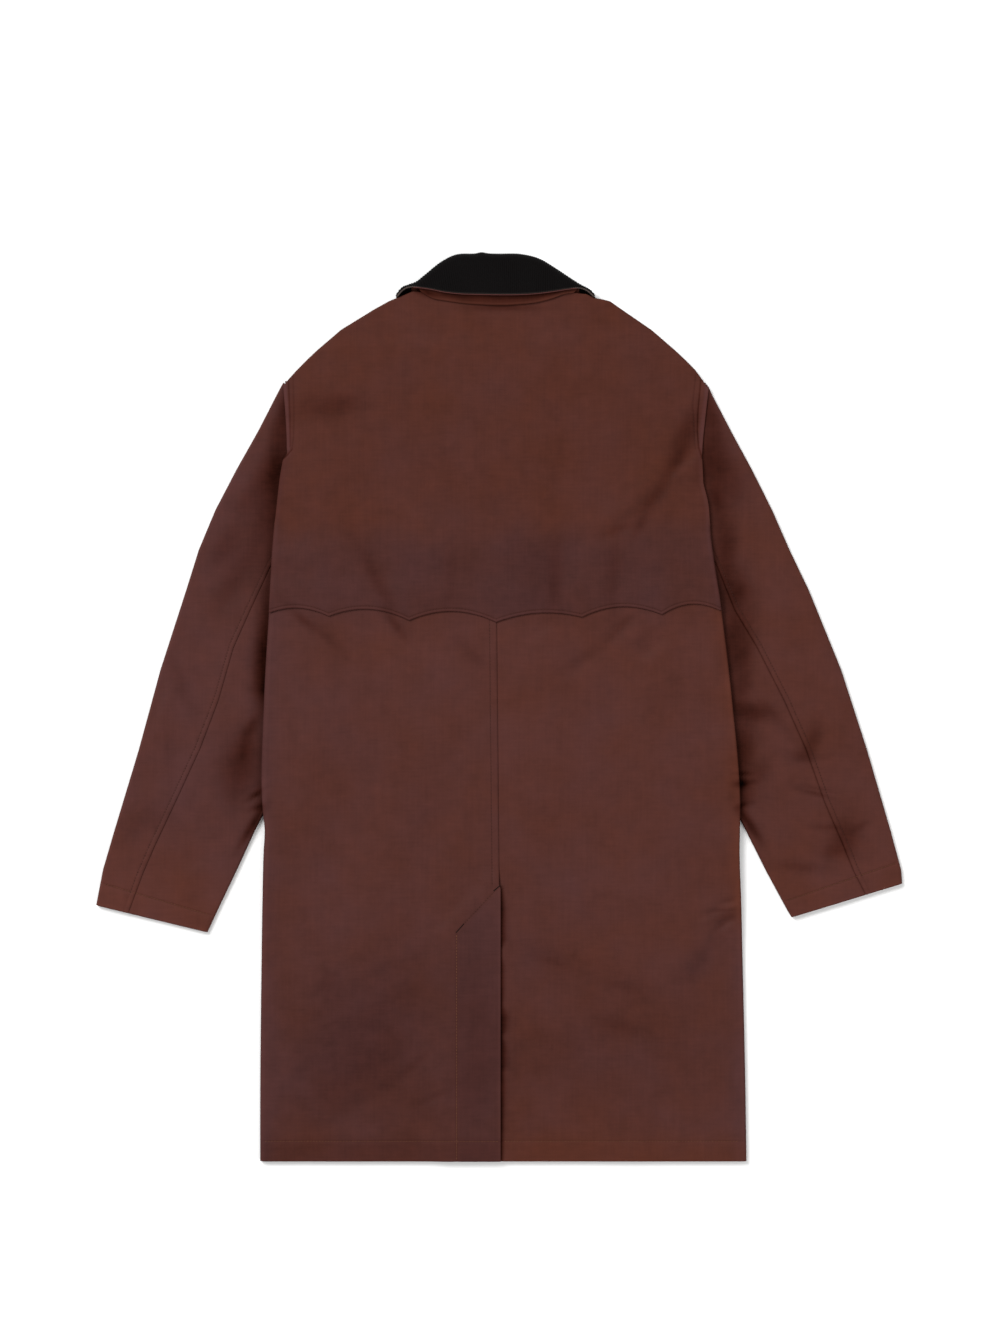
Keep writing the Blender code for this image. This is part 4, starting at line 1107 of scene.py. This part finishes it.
def back_place(hand):
    inward = INWARD[hand]

    def place(column, row):
        by_edge, by_middle, offset, turn = column
        y = row[0]
        edge = smooth_along(BODY_EDGES, hand, y)
        inside = edge + inward * ROLL_INSET
        if hand == "left":
            middle = mix(VENT_EDGE_X, centre_seam_x(y) - seam_room(y), above_vent(y))
        else:
            middle = underlap_x(y) + seam_room(y)
        x = by_edge * inside + by_middle * middle + offset
        radius = roll_radius(inside, y)
        angle = np.radians(turn)
        rolled = turn > 0
        drop = radius * (1 - np.cos(angle))
        z = np.where(rolled, back_plain(inside, y) - drop, panel_surface(x, y, hand))
        x = np.where(rolled, edge + inward * np.maximum(radius, LEAST_ROLL) * (1 - np.sin(angle)), x)
        free_edge = np.abs(x - VENT_EDGE_X) if hand == "left" else np.full(len(x), FAR_AWAY)
        z = z - 0.4 * (1 - above_vent(y)) * soft_step((VENT_RIM - free_edge) / VENT_RIM)
        return x, y, z, panel_marks(x, y, hand, np.abs(x - edge), free_edge)

    return place


left_columns = [(1, 0, 0, turn) for turn in ROLL_TURNS]
left_columns += [(1 - s, 0, (VENT_STITCH_X - 9) * s, 0) for s in np.linspace(0, 1, EDGE_STEPS)]
left_columns += [(0, 0, VENT_STITCH_X + step, 0) for step in NEAR_STITCH]
left_columns += [(0, s, (VENT_STITCH_X + 9) * (1 - s) - NEAR_SEAM[0] * s, 0)
                 for s in np.linspace(0, 1, 11)[:-1]]
left_columns += [(0, 1, -step, 0) for step in NEAR_SEAM]
right_columns = [(0, 1, step, 0) for step in NEAR_SEAM[::-1][:9]]
right_columns += [(0, (1 - s) ** 2, mix(NEAR_SEAM[5], 10, s), 0) for s in np.linspace(0, 1, 23)[1:]]
right_columns += [(s, 0, 10 * (1 - s), 0) for s in np.linspace(0, 1, EDGE_STEPS + 1)[1:]]
right_columns += [(1, 0, 0, turn) for turn in ROLL_TURNS[::-1]]
for hand, panel_columns in (("left", left_columns), ("right", right_columns)):
    lay_cloth("back_" + hand + "_cloth", "back_" + hand, panel_columns, panel_rows, back_place(hand),
              waxed_cotton)

# %% [markdown]
# ## The fronts
#
# The fronts lie face down on the table and can't be seen from above. They are plain, lapped at
# the centre front, and turn up at the sides and shoulders to meet the back. They rest flat,
# and only a few creases lift off the table. A coarser grid is enough.

# %% Fronts
FRONT_ARMHOLE_Y = 176.0
FRONT_LOW_ROWS = 122
FRONT_UPPER_ROWS = 36
FRONT_WALL = 2.0
ARMHOLE_ROOM = 1.5
ARMPIT_ROOM = 2.2
ARMPIT_ROOM_SLOPE = Slope(235, 35)
ARMHOLE_SIDE_RAMP = Ramp(105, 62)
FRONT_FREE_RAMP = Ramp(20, 30)
FRONT_TURN_SLOPE = Slope(125, 25)
FRONT_MARKS = {
    "left": ((None, -190, -133, -104, -99, -72, -38, -2.5, FRONT_LAP_LEFT),
             (-284, -215, -150, -110, -100, -72, -38, -2.5, FRONT_LAP_LEFT), (14, 10, 6, 2, 5, 6, 6, 5)),
    "right": ((FRONT_LAP_RIGHT, 2.5, 27, 46, 70, 95, 102, 131, 180, None),
              (FRONT_LAP_RIGHT, 2.5, 27, 46, 72, 100, 112, 150, 215, 292), (4, 4, 4, 5, 5, 2, 6, 10, 14)),
}


def spread(marks, steps):
    places = [np.linspace(start, end, count + 1)[1:] for start, end, count in zip(marks, marks[1:], steps)]
    return np.concatenate(([marks[0]], *places))


def front_place(hand):
    inward = INWARD[hand]
    tip = float(underarm_x(ARMHOLE_TOP_Y, hand)) + inward * ARMHOLE_ROOM
    top_marks, low_marks, steps = FRONT_MARKS[hand]
    tops = spread([tip if mark is None else mark for mark in top_marks], steps)
    lows = spread(low_marks, steps)
    outer = 0 if hand == "left" else -1

    def side_edge(y):
        armhole = underarm_x(y, hand) + inward * mix(ARMHOLE_ROOM, ARMPIT_ROOM, down(y, ARMPIT_ROOM_SLOPE))
        out = smooth_along(BODY_EDGES, hand, np.minimum(y, ARMHOLE_SIDE_RAMP.start))
        return mix(out, armhole, climb(y, ARMHOLE_SIDE_RAMP))

    def place(column, row):
        share, turn = column
        low_y, done, top_turn = row
        index = np.arange(len(tops)) / (len(tops) - 1)
        top_x, low_x = np.interp(share, index, tops), np.interp(share, index, lows)
        top_y = along(FRONT_TOP[hand], "y", top_x)
        radius = np.maximum(roll_radius(top_x, top_y), LEAST_ROLL)
        y = mix(low_y, top_y - radius, done)
        top_angle = np.radians(top_turn)
        y = np.where(top_turn > 0, top_y - radius * (1 - np.sin(top_angle)), y)
        turn_up = roll_radius(top_x, top_y) * soft_step(outside_neck(top_x) / NECK_FADE)
        rise = turn_up * (1 - np.cos(top_angle))
        up = (y - HEM_Y) / (top_y - HEM_Y)
        share_out = share if hand == "right" else 1 - share
        edge = side_edge(y)
        x = mix(low_x, top_x, up) + (edge - mix(lows[outer], tops[outer], up)) * share_out ** 3
        roll = roll_radius(edge + inward * ROLL_INSET, y)
        least = np.maximum(roll, LEAST_ROLL)
        x = x + inward * least * np.clip(1 - inward * (x - edge) / SQUEEZE, 0, 1)
        angle = np.radians(turn)
        level_x = np.where(turn > 0, edge + inward * ROLL_INSET, x)
        x = np.where(turn > 0, edge + inward * least * (1 - np.sin(angle)), x)
        rise = rise + down(y, FRONT_TURN_SLOPE) * roll * (1 - np.cos(angle)) * (turn > 0)
        flat = climb(inward * (x - edge), FRONT_FREE_RAMP)
        lifted = np.maximum(crease_height(FRONT_CREASES, x, y), 0) * flat * (1 - over_collar(x, y))
        height = front_plain(level_x, y) if hand == "left" else right_front_z(level_x, y)
        hem = ditch(y - HEM_STITCH_Y, 2.0)
        return x, y, height + rise + lifted, wax_marks(x, y, 0.3 * hem, 0.3 * ditch(y - HEM_Y, 4.0))

    return place


front_rows = [(y, 0, 0) for y in np.linspace(HEM_Y, FRONT_ARMHOLE_Y, FRONT_LOW_ROWS)]
front_rows += [(FRONT_ARMHOLE_Y, done, 0) for done in np.linspace(0, 1, FRONT_UPPER_ROWS)[1:]]
front_rows += [(FRONT_ARMHOLE_Y, 1, turn) for turn in ROLL_TURNS[::-1]]
for hand in INWARD:
    count = sum(FRONT_MARKS[hand][2])
    flat_columns = [(share, 0) for share in np.linspace(0, 1, count + 1)]
    roll_columns = [(0 if hand == "left" else 1, turn) for turn in ROLL_TURNS]
    front_columns = roll_columns + flat_columns if hand == "left" else flat_columns + roll_columns[::-1]
    lay_cloth("front_" + hand + "_cloth", "front_" + hand, front_columns, front_rows, front_place(hand),
              waxed_cotton, wall=FRONT_WALL)

# %% [markdown]
# ## The sleeves
#
# Each sleeve has two pieces. The top piece goes round the outer fold and the under piece round
# the inner one, and they meet in a felled seam down the back and in another on the underside.
# Each shell is therefore a C in section, flat on the table, round at the fold and creased on
# top. The cuff is turned up and stitched, and beside the body the cloth sinks into its shadow.

# %% Folds and seams of the sleeves
FOREARM_SEAM = 0.52
SEAM_SHARES = (0.2, 0.8)
HALVINGS = 30


def sleeve_ends(share, hand):
    """Outer and inner fold of a sleeve at a share of its length."""
    outer_y = mix(ARMHOLE_TOP_Y, CUFFS[hand].outer_y, share)
    inner_y = mix(ARMPIT_Y, CUFFS[hand].inner_y, share)
    outer = np.stack((along(SLEEVE_EDGES, hand, outer_y), outer_y))
    return outer, np.stack((underarm_x(inner_y, hand), inner_y))


def seam_across(outer, inner, hand):
    """Share of the way from outer to inner fold at which the back seam lies."""
    low, high = np.zeros(outer.shape[1]), np.ones(outer.shape[1])
    for _ in range(HALVINGS):
        middle = (low + high) / 2
        x, y = mix(outer, inner, middle)
        before = INWARD[hand] * (x - along(SLEEVE_SEAMS, hand, y)) < 0
        low, high = np.where(before, middle, low), np.where(before, high, middle)
    return np.clip(middle, *SEAM_SHARES)


left_cuff = np.hypot(*np.subtract(*sleeve_ends(np.ones(1), "left")))
print(f"left cuff {left_cuff[0]:.0f} mm across")

# %% Sleeves
SLEEVE_LENGTH = 560.0
SLEEVE_STITCH = 6.0
SLEEVE_RADIUS = (SLEEVE_TOP_Z - SLEEVE_LOW_Z) / 2
SLEEVE_BLOOM = {"left": 0.78, "right": 0.46}
CUFF_BLOOM = {"left": 0.4, "right": 0.42}
SLEEVE_LIGHTER = {"left": 0.03, "right": 0.015}
CUFF_STITCH = 0.957
CUFF_STEPS = np.array((-0.012, -0.008, -0.005, -0.0033, -0.0018, 0, 0.0018, 0.0033, 0.005, 0.009))
CUFF_ROWS = CUFF_STITCH + CUFF_STEPS
CUFF_END = (0.97, 0.976, 0.982, 0.987, 0.991, 0.9945, 0.997, 0.9987, 1.0)
CUFF_RIM_RAMP = Ramp(0.997, 0.003)
CUFF_TURN_RAMP = Ramp(CUFF_STITCH, 0.01)
CUFF_TONE_RAMP = Ramp(0.76, 0.22)
FOLD_FREE_RAMP = Ramp(SLEEVE_RADIUS, 16)
BARE_SLOPE = Slope(2, 3)
ON_SEAM, ON_TOP, ON_FOLD, BELOW = range(4)
sleeve_rows = np.concatenate((np.linspace(0, CUFF_ROWS[0] - 0.004, 186), CUFF_ROWS, CUFF_END))[:, None]


def fell_height(share, from_seam):
    """The seam's allowance under the cloth, puckered by the stitching that holds it."""
    fell = 0.4 * soft_step((SLEEVE_STITCH + 2 - from_seam) / 4)
    pucker = np.sin(share * 300 + 2 * np.sin(share * 41)) * (0.5 + 0.5 * np.sin(share * 23))
    return fell + 0.3 * pucker * ditch(from_seam - 4, 5) * soft_step(from_seam / 2)


def sleeve_marks(x, y, hand, share, shown, turning, lines):
    """Painted shade in the seam and cuff grooves and beside the body, paler towards the cuff, and bloom."""
    seam_line, felled, cuff = lines
    beside = np.maximum(-from_side(x, y), 0)
    # tuck: painted shade on the sleeve beside the body.
    tuck = along(TUCK_SHADES, hand, y) * ditch(beside, along(TUCK_SHADES, hand + "_reach", y))
    # The seam, stitch and cuff lines are painted shade in their grooves.
    dark = shown * (0.3 * seam_line + 0.08 * felled + 0.05 * cuff + tuck)
    by_cuff = climb(share, CUFF_TONE_RAMP)
    wear_and_highlight = SLEEVE_LIGHTER[hand] + 0.15 * ditch((1 - share) * SLEEVE_LENGTH - 1.5, 1.6)
    wear_and_highlight = wear_and_highlight + 0.1 * turning + 0.1 * by_cuff
    return wax_marks(x, y, dark, wear_and_highlight, mix(SLEEVE_BLOOM[hand], CUFF_BLOOM[hand], by_cuff))


def sleeve_place(hand, part):
    outer_piece = part == "top"

    def place(column, row):
        stage, step = column
        share = row[0]
        outer, inner = sleeve_ends(share, hand)
        width = np.hypot(*(inner - outer))
        seam = seam_across(outer, inner, hand)
        across, below = (seam, FOREARM_SEAM) if outer_piece else (1 - seam, 1 - FOREARM_SEAM)
        top_reach = across * width - SEAM_GAP / 2
        low_reach = below * width - SEAM_GAP / 2
        angle = np.radians(step)
        reach = np.select((stage == ON_SEAM, stage == ON_TOP, stage == ON_FOLD), (
            top_reach - step,
            mix(top_reach - NEAR_SEAM[0], SLEEVE_RADIUS, step),
            SLEEVE_RADIUS * (1 - np.sin(angle))), mix(SLEEVE_RADIUS, low_reach, step))
        start, end = (outer, inner) if outer_piece else (inner, outer)
        x, y = mix(start, end, reach / width)
        free = climb(reach, FOLD_FREE_RAMP)
        upper = SLEEVE_TOP_Z + free * (sleeve_z(x, y) - SLEEVE_TOP_Z)
        from_seam = top_reach - reach
        bare = down(from_side(x, y), BARE_SLOPE)
        seam_line = ditch(from_seam, 1.2) * bare
        felled = ditch(from_seam - SLEEVE_STITCH, 1.0) * bare * outer_piece
        cuff = ditch((share - CUFF_STITCH) * SLEEVE_LENGTH, 1.2)
        lines = (seam_line, felled, cuff)
        rim = climb(share, CUFF_RIM_RAMP)
        turned_up = 0.5 * climb(share, CUFF_TURN_RAMP)
        pressed = 0.5 * np.maximum.reduce(lines)
        upper = upper + turned_up + fell_height(share, from_seam) * outer_piece - pressed - 0.6 * rim
        fold = (SLEEVE_TOP_Z + SLEEVE_LOW_Z) / 2 + SLEEVE_RADIUS * np.cos(angle)
        shown = stage <= ON_TOP
        z = np.select((shown, stage == ON_FOLD), (upper, fold), SLEEVE_LOW_Z)
        return x, y, z, sleeve_marks(x, y, hand, share, shown, stage == ON_FOLD, lines)

    return place


sleeve_columns = [(ON_SEAM, step) for step in NEAR_SEAM[::-1]]
sleeve_columns += [(ON_TOP, step) for step in np.linspace(0, 1, 30)[1:]]
sleeve_columns += [(ON_FOLD, step) for step in np.arange(18, 180, 18)]
sleeve_columns += [(BELOW, step) for step in np.linspace(0, 1, 12)]
for hand in INWARD:
    for part in ("top", "under"):
        node = "sleeve_" + hand + "_" + part
        lay_cloth(node + "_cloth", node, sleeve_columns, sleeve_rows, sleeve_place(hand, part),
                  waxed_cotton)

# %% [markdown]
# ## The collar
#
# The collar is folded over at its top: on the back it falls as a band of corduroy, and below
# the fold its ends run round to the front, under the yoke. The corduroy's rows of pile are
# raised in the mesh, six columns to a wale, which costs triangles but gives a true edge and a
# true shadow. Under the fall lies a collar of waxed cloth, whose edge shows as a thin line,
# painted pale and cool as a highlight. It ends short of the tips, where the pressed layers leave
# no room for it. Below that is the stand, which is sewn to the neck and painted dark as shade
# under the fall.

# %% Layers and lines of the collar
COLLAR_MID_Z = 8.8
COLLAR_FOLD = 8.8
FALL_DEPTH = 2.2
CollarLayer = namedtuple("CollarLayer", "inset set_in tip_share ends peek wall dark")
# dark: painted shade of a layer's cloth; only the stand, under the fall, has it.
FALL_LAYER = CollarLayer(1.5, 2.2, 0.4, 0.0, 0.0, 1.6, 0.0)
UNDER_LAYER = CollarLayer(3.7, 4.2, 0.7, 0.07, 0.75, 0.8, 0.0)
STAND_LAYER = CollarLayer(5.85, 0.0, 0.4, 0.0, 1.5, 1.8, 0.6)
COLLAR_WIDTH = FALL_STATIONS[-1].fold_x - FALL_STATIONS[0].fold_x


def collar_lines(stations, at, layer):
    """Free edge, fold and underside end of the collar cloth, set in from its outline."""
    fold = np.stack((at, smooth_along(stations, "fold_y", at)))
    edge = np.stack((smooth_along(stations, "edge_x", at), smooth_along(stations, "edge_y", at)))
    under = np.stack((along(stations, "under_x", at), along(stations, "under_y", at)))
    rise = smooth_along(stations, "fold_y", at + 1) - smooth_along(stations, "fold_y", at - 1)
    inward = np.stack((rise, np.full(len(at), -2.0))) / np.hypot(rise, 2.0)
    band = np.hypot(*(edge - fold))
    edge = edge + (edge - fold) / band * layer.peek
    fold = fold + inward * np.minimum(layer.set_in, layer.tip_share * band)
    below = np.hypot(*(fold - under))
    under = under + (fold - under) / below * np.minimum(layer.inset / 2, 0.4 * below)
    return edge, fold, under


print(f"collar {COLLAR_WIDTH:.0f} mm from tip to tip")

# %% Collar
WALE_PITCH = 2.5
WALE_COLUMNS = 6
WALE_HEIGHT = 0.62
PLAIN_COLUMNS = 100
LIP_RISE = 2.9
BUMP_X = -22
BUMP_WIDTH = 6
BUMP_LIFT = 1.6
TIP_RUB_AND_LIGHT_RAMP = Ramp(16, 12)
STAND_SHADE_RAMP = Ramp(1, 5)
ON_BEND, ON_BAND, ON_LIP = range(3)


def collar_place(stations, layer, corded):
    inner = COLLAR_FOLD - (FALL_DEPTH if corded else layer.inset)

    def place(column, row):
        side, stage, step = row
        at = mix(stations[0].fold_x, stations[-1].fold_x, column[0])
        edge, fold, under = collar_lines(stations, at, layer)
        end = np.where(side > 0, edge, under)
        full = np.hypot(*(end - fold))
        bend = np.minimum(inner, np.where(side > 0, 0.8, 0.5) * full)
        crest = 0.5 - 0.5 * np.cos(2 * np.pi * (at - stations[0].fold_x) / WALE_PITCH)
        crest = crest * np.where(side > 0, 1.0, soft_step(1 - step) * (stage == ON_BEND))
        pile = FALL_DEPTH - layer.wall / 2 - WALE_HEIGHT * (1 - crest)
        radius = inner + (pile if corded else 0.0)
        turn = step * np.arccos(1 - bend / inner)
        far = np.where(stage == ON_LIP, full, mix(bend, full, step))
        sine = np.sqrt(np.clip(1 - (np.maximum(inner - far, 0) / inner) ** 2, 0, 1))
        reach = np.where(stage == ON_BEND, inner - radius * np.cos(turn), far)
        height = radius * np.where(stage == ON_BEND, np.sin(turn), sine)
        height = height + LIP_RISE * step * (stage == ON_LIP)
        x, y = fold + (end - fold) * reach / full
        z = COLLAR_MID_Z + np.where(side > 0, height, -height)
        if corded:
            from_tip = np.minimum(at - stations[0].fold_x, stations[-1].fold_x - at)
            bump = BUMP_LIFT * ditch(at - BUMP_X, BUMP_WIDTH) * (stage == ON_BEND) * np.cos(turn)
            # A pale line along the fall's free edge, strongest at the tips: rubbed pile and painted
            # highlight.
            rubbed_and_lit = mix(0.4, 0.16, climb(from_tip, TIP_RUB_AND_LIGHT_RAMP)) * ditch(full - reach, 0.6) * (side > 0)
            return x, y + bump, z, {"wale_crest": crest, "worn_and_highlit_edge": rubbed_and_lit}
        # The stand is painted dark as shade under the fall, less so towards its ends; the lip of the under
        # collar is painted pale and cool as a highlight.
        shaded = mix(0.3, 1.0, climb(full - reach, STAND_SHADE_RAMP))
        lip = stage == ON_LIP
        return x, y, z, wax_marks(x, y, layer.dark * shaded, 0.7 * lip, 1.0 * lip)

    return place


turns = np.linspace(0, 1, 9)
collar_rows = [(-1, ON_BAND, step) for step in np.linspace(1, 0, 26)[:-1]]
collar_rows += [(-1, ON_BEND, step) for step in turns[:0:-1]]
collar_rows += [(1, ON_BEND, step) for step in turns]
collar_rows += [(1, ON_BAND, step) for step in (*np.linspace(0, 1, 14)[1:-1], 0.965, 1.0)]
lip_rows = [(1, ON_LIP, step) for step in (0.3, 0.6, 0.85, 1.0)]
cord_columns = round(COLLAR_WIDTH / WALE_PITCH) * WALE_COLUMNS
for name, node, stations, layer, count, corded in (
        ("collar_fall_corduroy", "collar_fall", FALL_STATIONS, FALL_LAYER, cord_columns, True),
        ("under_collar_cloth", "under_collar", FALL_STATIONS, UNDER_LAYER, PLAIN_COLUMNS, False),
        ("collar_stand_cloth", "collar_stand", STAND_STATIONS, STAND_LAYER, PLAIN_COLUMNS, False)):
    rows = collar_rows + (lip_rows if layer is UNDER_LAYER else [])
    across = np.linspace(layer.ends, 1 - layer.ends, count + 1)[:, None]
    lay_cloth(name, node, across, rows, collar_place(stations, layer, corded),
              corduroy if corded else waxed_cotton,
              wall=layer.wall, held="folded")

# %% [markdown]
# ## Stitching
#
# Machine stitches are short straight threads that dip into the cloth at both ends. The rows of
# one kind are one joined mesh, built from arrays: a stitch is five small rings along its row.
# Real thread is about 0.4 mm thick with three stitches to a centimetre. It is drawn nearly twice
# as thick so that it shows, and just proud of the groove that it lies in.

# %% Sew a row of stitches
STITCH_PITCH = 3.6
STITCH_SHARE = 0.76
THREAD_RADIUS = 0.36
RINGS = np.array((0.0, 0.18, 0.5, 0.82, 1.0))
RING_SIZE = np.array((0.5, 0.9, 1.0, 0.9, 0.5))
RING_LIFT = np.array((-0.35, 0.1, 0.22, 0.1, -0.35))
CORNERS = np.array(((1, 0), (0, 1), (-1, 0), (0, -1)), float)


def stitch_points(line, surface, pitch, share, radius):
    """Rings of points for each stitch along a line."""
    line = np.asarray(line, float)
    lengths = np.concatenate(([0], np.cumsum(np.hypot(*np.diff(line, axis=0).T))))
    count = max(int(lengths[-1] / pitch), 1)
    starts = (np.arange(count) + 0.5 - share / 2) * pitch
    at = starts[:, None] + RINGS * share * pitch
    x, y = np.interp(at, lengths, line[:, 0]), np.interp(at, lengths, line[:, 1])
    run = np.stack((x[:, -1] - x[:, 0], y[:, -1] - y[:, 0]), 1)
    run = run / np.hypot(*run.T)[:, None]
    z = surface(x, y) + WALL / 2 + RING_LIFT
    centre = np.stack((x, y, z), 2)[:, :, None, :]
    sideways = np.stack((-run[:, 1], run[:, 0], np.zeros(count)), 1)[:, None, None, :]
    upward = np.array((0.0, 0.0, 1.0))
    corner = CORNERS[None, None, :, :] * radius
    size = RING_SIZE[None, :, None, None]
    return centre + size * (corner[..., :1] * sideways + corner[..., 1:] * upward)


def sew(name, rows, finish, pitch=STITCH_PITCH, share=STITCH_SHARE, radius=THREAD_RADIUS):
    """Join all stitches of some rows, each a line with the surface that it lies on, into one piece."""
    stitches = np.concatenate([
        stitch_points(line, surface, pitch, share, radius) for line, surface in rows])
    ring = np.arange(len(CORNERS))
    after = np.roll(ring, -1)
    starts = len(CORNERS) * np.arange(len(RINGS))
    sides = [np.stack((this + ring, this + after, other + after, other + ring), 1)
             for this, other in zip(starts, starts[1:])]
    faces = np.concatenate((*sides, [ring[::-1]], [starts[-1] + ring]))
    faces = faces[None] + len(CORNERS) * len(RINGS) * np.arange(len(stitches))[:, None, None]
    points = (stitches.reshape(-1, 3) - (MIDDLE_X, MIDDLE_Y, 0)) * MM
    mesh = bpy.data.meshes.new(name)
    mesh.from_pydata(points.tolist(), [], faces.reshape(-1, len(CORNERS)).tolist())
    piece = add_piece(name, mesh, finish)
    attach(piece, "root")
    triangles[name] = 2 * len(mesh.polygons)
    print(f"{name}: {len(stitches)} stitches, {triangles[name]} triangles")


print(f"{10 / STITCH_PITCH:.1f} stitches to a centimetre")

# %% [markdown]
# Each row of stitches follows the seam that it holds, and takes its height from the surface of
# the piece that it is sewn on. The bar tacks at both ends of the vent's diagonal are short thick
# stitches along it, set so close that they overlap, as a tacking machine makes them.

# %% Surfaces and lines for the stitches
STITCH_SINK = {"yoke": 0.45, "sleeve": 0.1}
SEAM_ROW_SHARES = (0.16, 0.999)
CUFF_ROW_SHARES = (0.03, 0.97)


def yoke_top(x, y):
    return yoke_z(x, y) - STITCH_SINK["yoke"]


def left_panel(x, y):
    return panel_surface(x, y, "left")


def right_panel(x, y):
    return panel_surface(x, y, "right")


def seam_row(hand, offset):
    """Line beside the back seam of a sleeve, from where it comes out of the armhole to the cuff."""
    share = np.linspace(*SEAM_ROW_SHARES, 80)
    outer, inner = sleeve_ends(share, hand)
    width = np.hypot(*(inner - outer))
    x, y = mix(outer, inner, seam_across(outer, inner, hand) - offset / width)
    return np.stack((x, y), 1)


def cuff_row(hand):
    outer, inner = sleeve_ends(np.full(40, CUFF_STITCH), hand)
    return mix(outer, inner, np.linspace(*CUFF_ROW_SHARES, 40)).T


def sleeve_top(x, y):
    return sleeve_z(x, y) - STITCH_SINK["sleeve"]


print("left sleeve seam row starts at", seam_row("left", SLEEVE_STITCH)[0].round(1), "mm")

# %% Rows of stitches
TACK_PITCH = 1.12
TACK_SHARE = 1.3
TACK_RADIUS = 0.6
HEM_ENDS = (2, 286)
low_x, low_y, _ = scallop_edge(np.linspace(0.012, 0.988, 400))
sew("yoke_edge_stitching", [(np.stack((low_x, low_y + YOKE_STITCH), 1), yoke_top)], brown_thread)
seam_y = np.linspace(100, VENT_TOP_Y, 60)
seam_line = np.stack((centre_seam_x(seam_y) - SEAM_STITCH, seam_y), 1)
sew("centre_back_stitching", [(seam_line, left_panel)], brown_thread)
sew("vent_stitching", [(VENT_STITCHES[2:], left_panel)], tan_thread)
sew("vent_top_stitching", [(VENT_STITCHES[:2], left_panel)], brown_thread)
hem_x = np.linspace(*HEM_ENDS, 60)
sew("hem_stitching", [(np.stack((-hem_x, np.full(60, HEM_STITCH_Y)), 1), left_panel),
                      (np.stack((hem_x + 3, np.full(60, HEM_STITCH_Y)), 1), right_panel)], hem_thread)
sew("cuff_stitching", [(cuff_row(hand), sleeve_top) for hand in CUFFS], hem_thread)
sew("sleeve_seam_stitching", [(seam_row(hand, SLEEVE_STITCH), sleeve_top) for hand in CUFFS], brown_thread)
inner_lines = [line for lines in ARMHOLE_LINES.values() for line in lines[1:]]
sew("armhole_stitching", [(line, yoke_top) for line in inner_lines], brown_thread)
sew("vent_tacks", [(((0.2, VENT_TOP_Y + 1), (-8.4, VENT_TOP_Y - 6)), left_panel),
                   (((-43, -259.6), (-53, -270.8)), left_panel)],
    tack_thread, TACK_PITCH, TACK_SHARE, TACK_RADIUS)

# %% [markdown]
# ## Table, light and camera
#
# The coat was photographed from straight above on white, under even light. A pale painted
# board stands for the table. A large soft lamp above the collar's left and a weaker one from
# the other side leave only short shadows under the edges. The camera looks straight down with
# a long lens, far enough away that the coat's thickness hardly shifts its outline.

# %% Table
BRUSH_SCALE = 3.0
TABLE_SIZE = 16
TABLE_Z = -0.4 * MM


def make_board():
    material, tree, shader = new_material("white_painted_board")
    place = add_node(tree, "ShaderNodeTexCoord").outputs["Object"]
    brushed = add_node(tree, "ShaderNodeTexNoise", {}, {
        "Vector": place, "Scale": BRUSH_SCALE, "Detail": 2.0}).outputs["Fac"]
    paint = add_node(tree, "ShaderNodeMix", {"data_type": "RGBA"}, {
        0: brushed, 6: linear("#F4F4F4"), 7: linear("#F8F8F7")}).outputs[2]
    set_inputs(tree, shader, {"Base Color": paint, "Roughness": 0.9, "Specular IOR Level": 0.1})
    return material


bpy.ops.mesh.primitive_grid_add(
    x_subdivisions=4, y_subdivisions=4, size=TABLE_SIZE, location=(0, 0, TABLE_Z))
table = bpy.context.object
table.name = "pale_table"
table.data.materials.append(make_board())
print("table", TABLE_SIZE, "m across")

# %% Light
Lamp = namedtuple("Lamp", "name x y z size watts")
LAMPS = (
    Lamp("soft_key", -3.0, 3.1, 4.6, 3.4, 420),
    Lamp("soft_fill", 3.2, -2.2, 5.0, 4.2, 160),
)
ROOM_LIGHT = 0.45
for lamp in LAMPS:
    light = bpy.data.lights.new(lamp.name, "AREA")
    light.size = lamp.size
    light.energy = lamp.watts
    holder = bpy.data.objects.new(lamp.name, light)
    holder.location = (lamp.x, lamp.y, lamp.z)
    towards = holder.location * -1
    holder.rotation_euler = towards.to_track_quat("-Z", "Y").to_euler()
    holder.visible_camera = False
    bpy.context.scene.collection.objects.link(holder)

world = bpy.data.worlds.new("white_room")
world.use_nodes = True
set_inputs(world.node_tree, world.node_tree.nodes["Background"], {
    "Color": linear("#FFFFFF"), "Strength": ROOM_LIGHT})
bpy.context.scene.world = world
bpy.context.scene.view_settings.view_transform = "Standard"
print("lit by", len(LAMPS), "lamps and a white room")

# %% Camera
PIXELS_HIGH = 1334
MM_A_PIXEL = 1.2
PICTURE_MIDDLE_Y = 48.0
LENS = 90.0
SENSOR = 36.0
COAT_LEVEL = 7.0
lens = bpy.data.cameras.new("overhead_camera")
lens.lens = LENS
lens.sensor_width = SENSOR
distance = PIXELS_HIGH * MM_A_PIXEL * LENS / SENSOR + COAT_LEVEL
camera = bpy.data.objects.new("overhead_camera", lens)
camera.location = (-MIDDLE_X * MM, (PICTURE_MIDDLE_Y - MIDDLE_Y) * MM, distance * MM)
bpy.context.scene.collection.objects.link(camera)
bpy.context.scene.camera = camera
print(f"camera {distance / 1000:.2f} m above the table")

# %% [markdown]
# ## Triangles at the end
#
# The triangles of all the pieces are counted and printed. The dressed coat must keep close
# to the box of its solids.

# %% Count the triangles, then finish
bpy.context.view_layer.update()
print(f"{sum(triangles.values())} triangles in {len(triangles)} pieces")
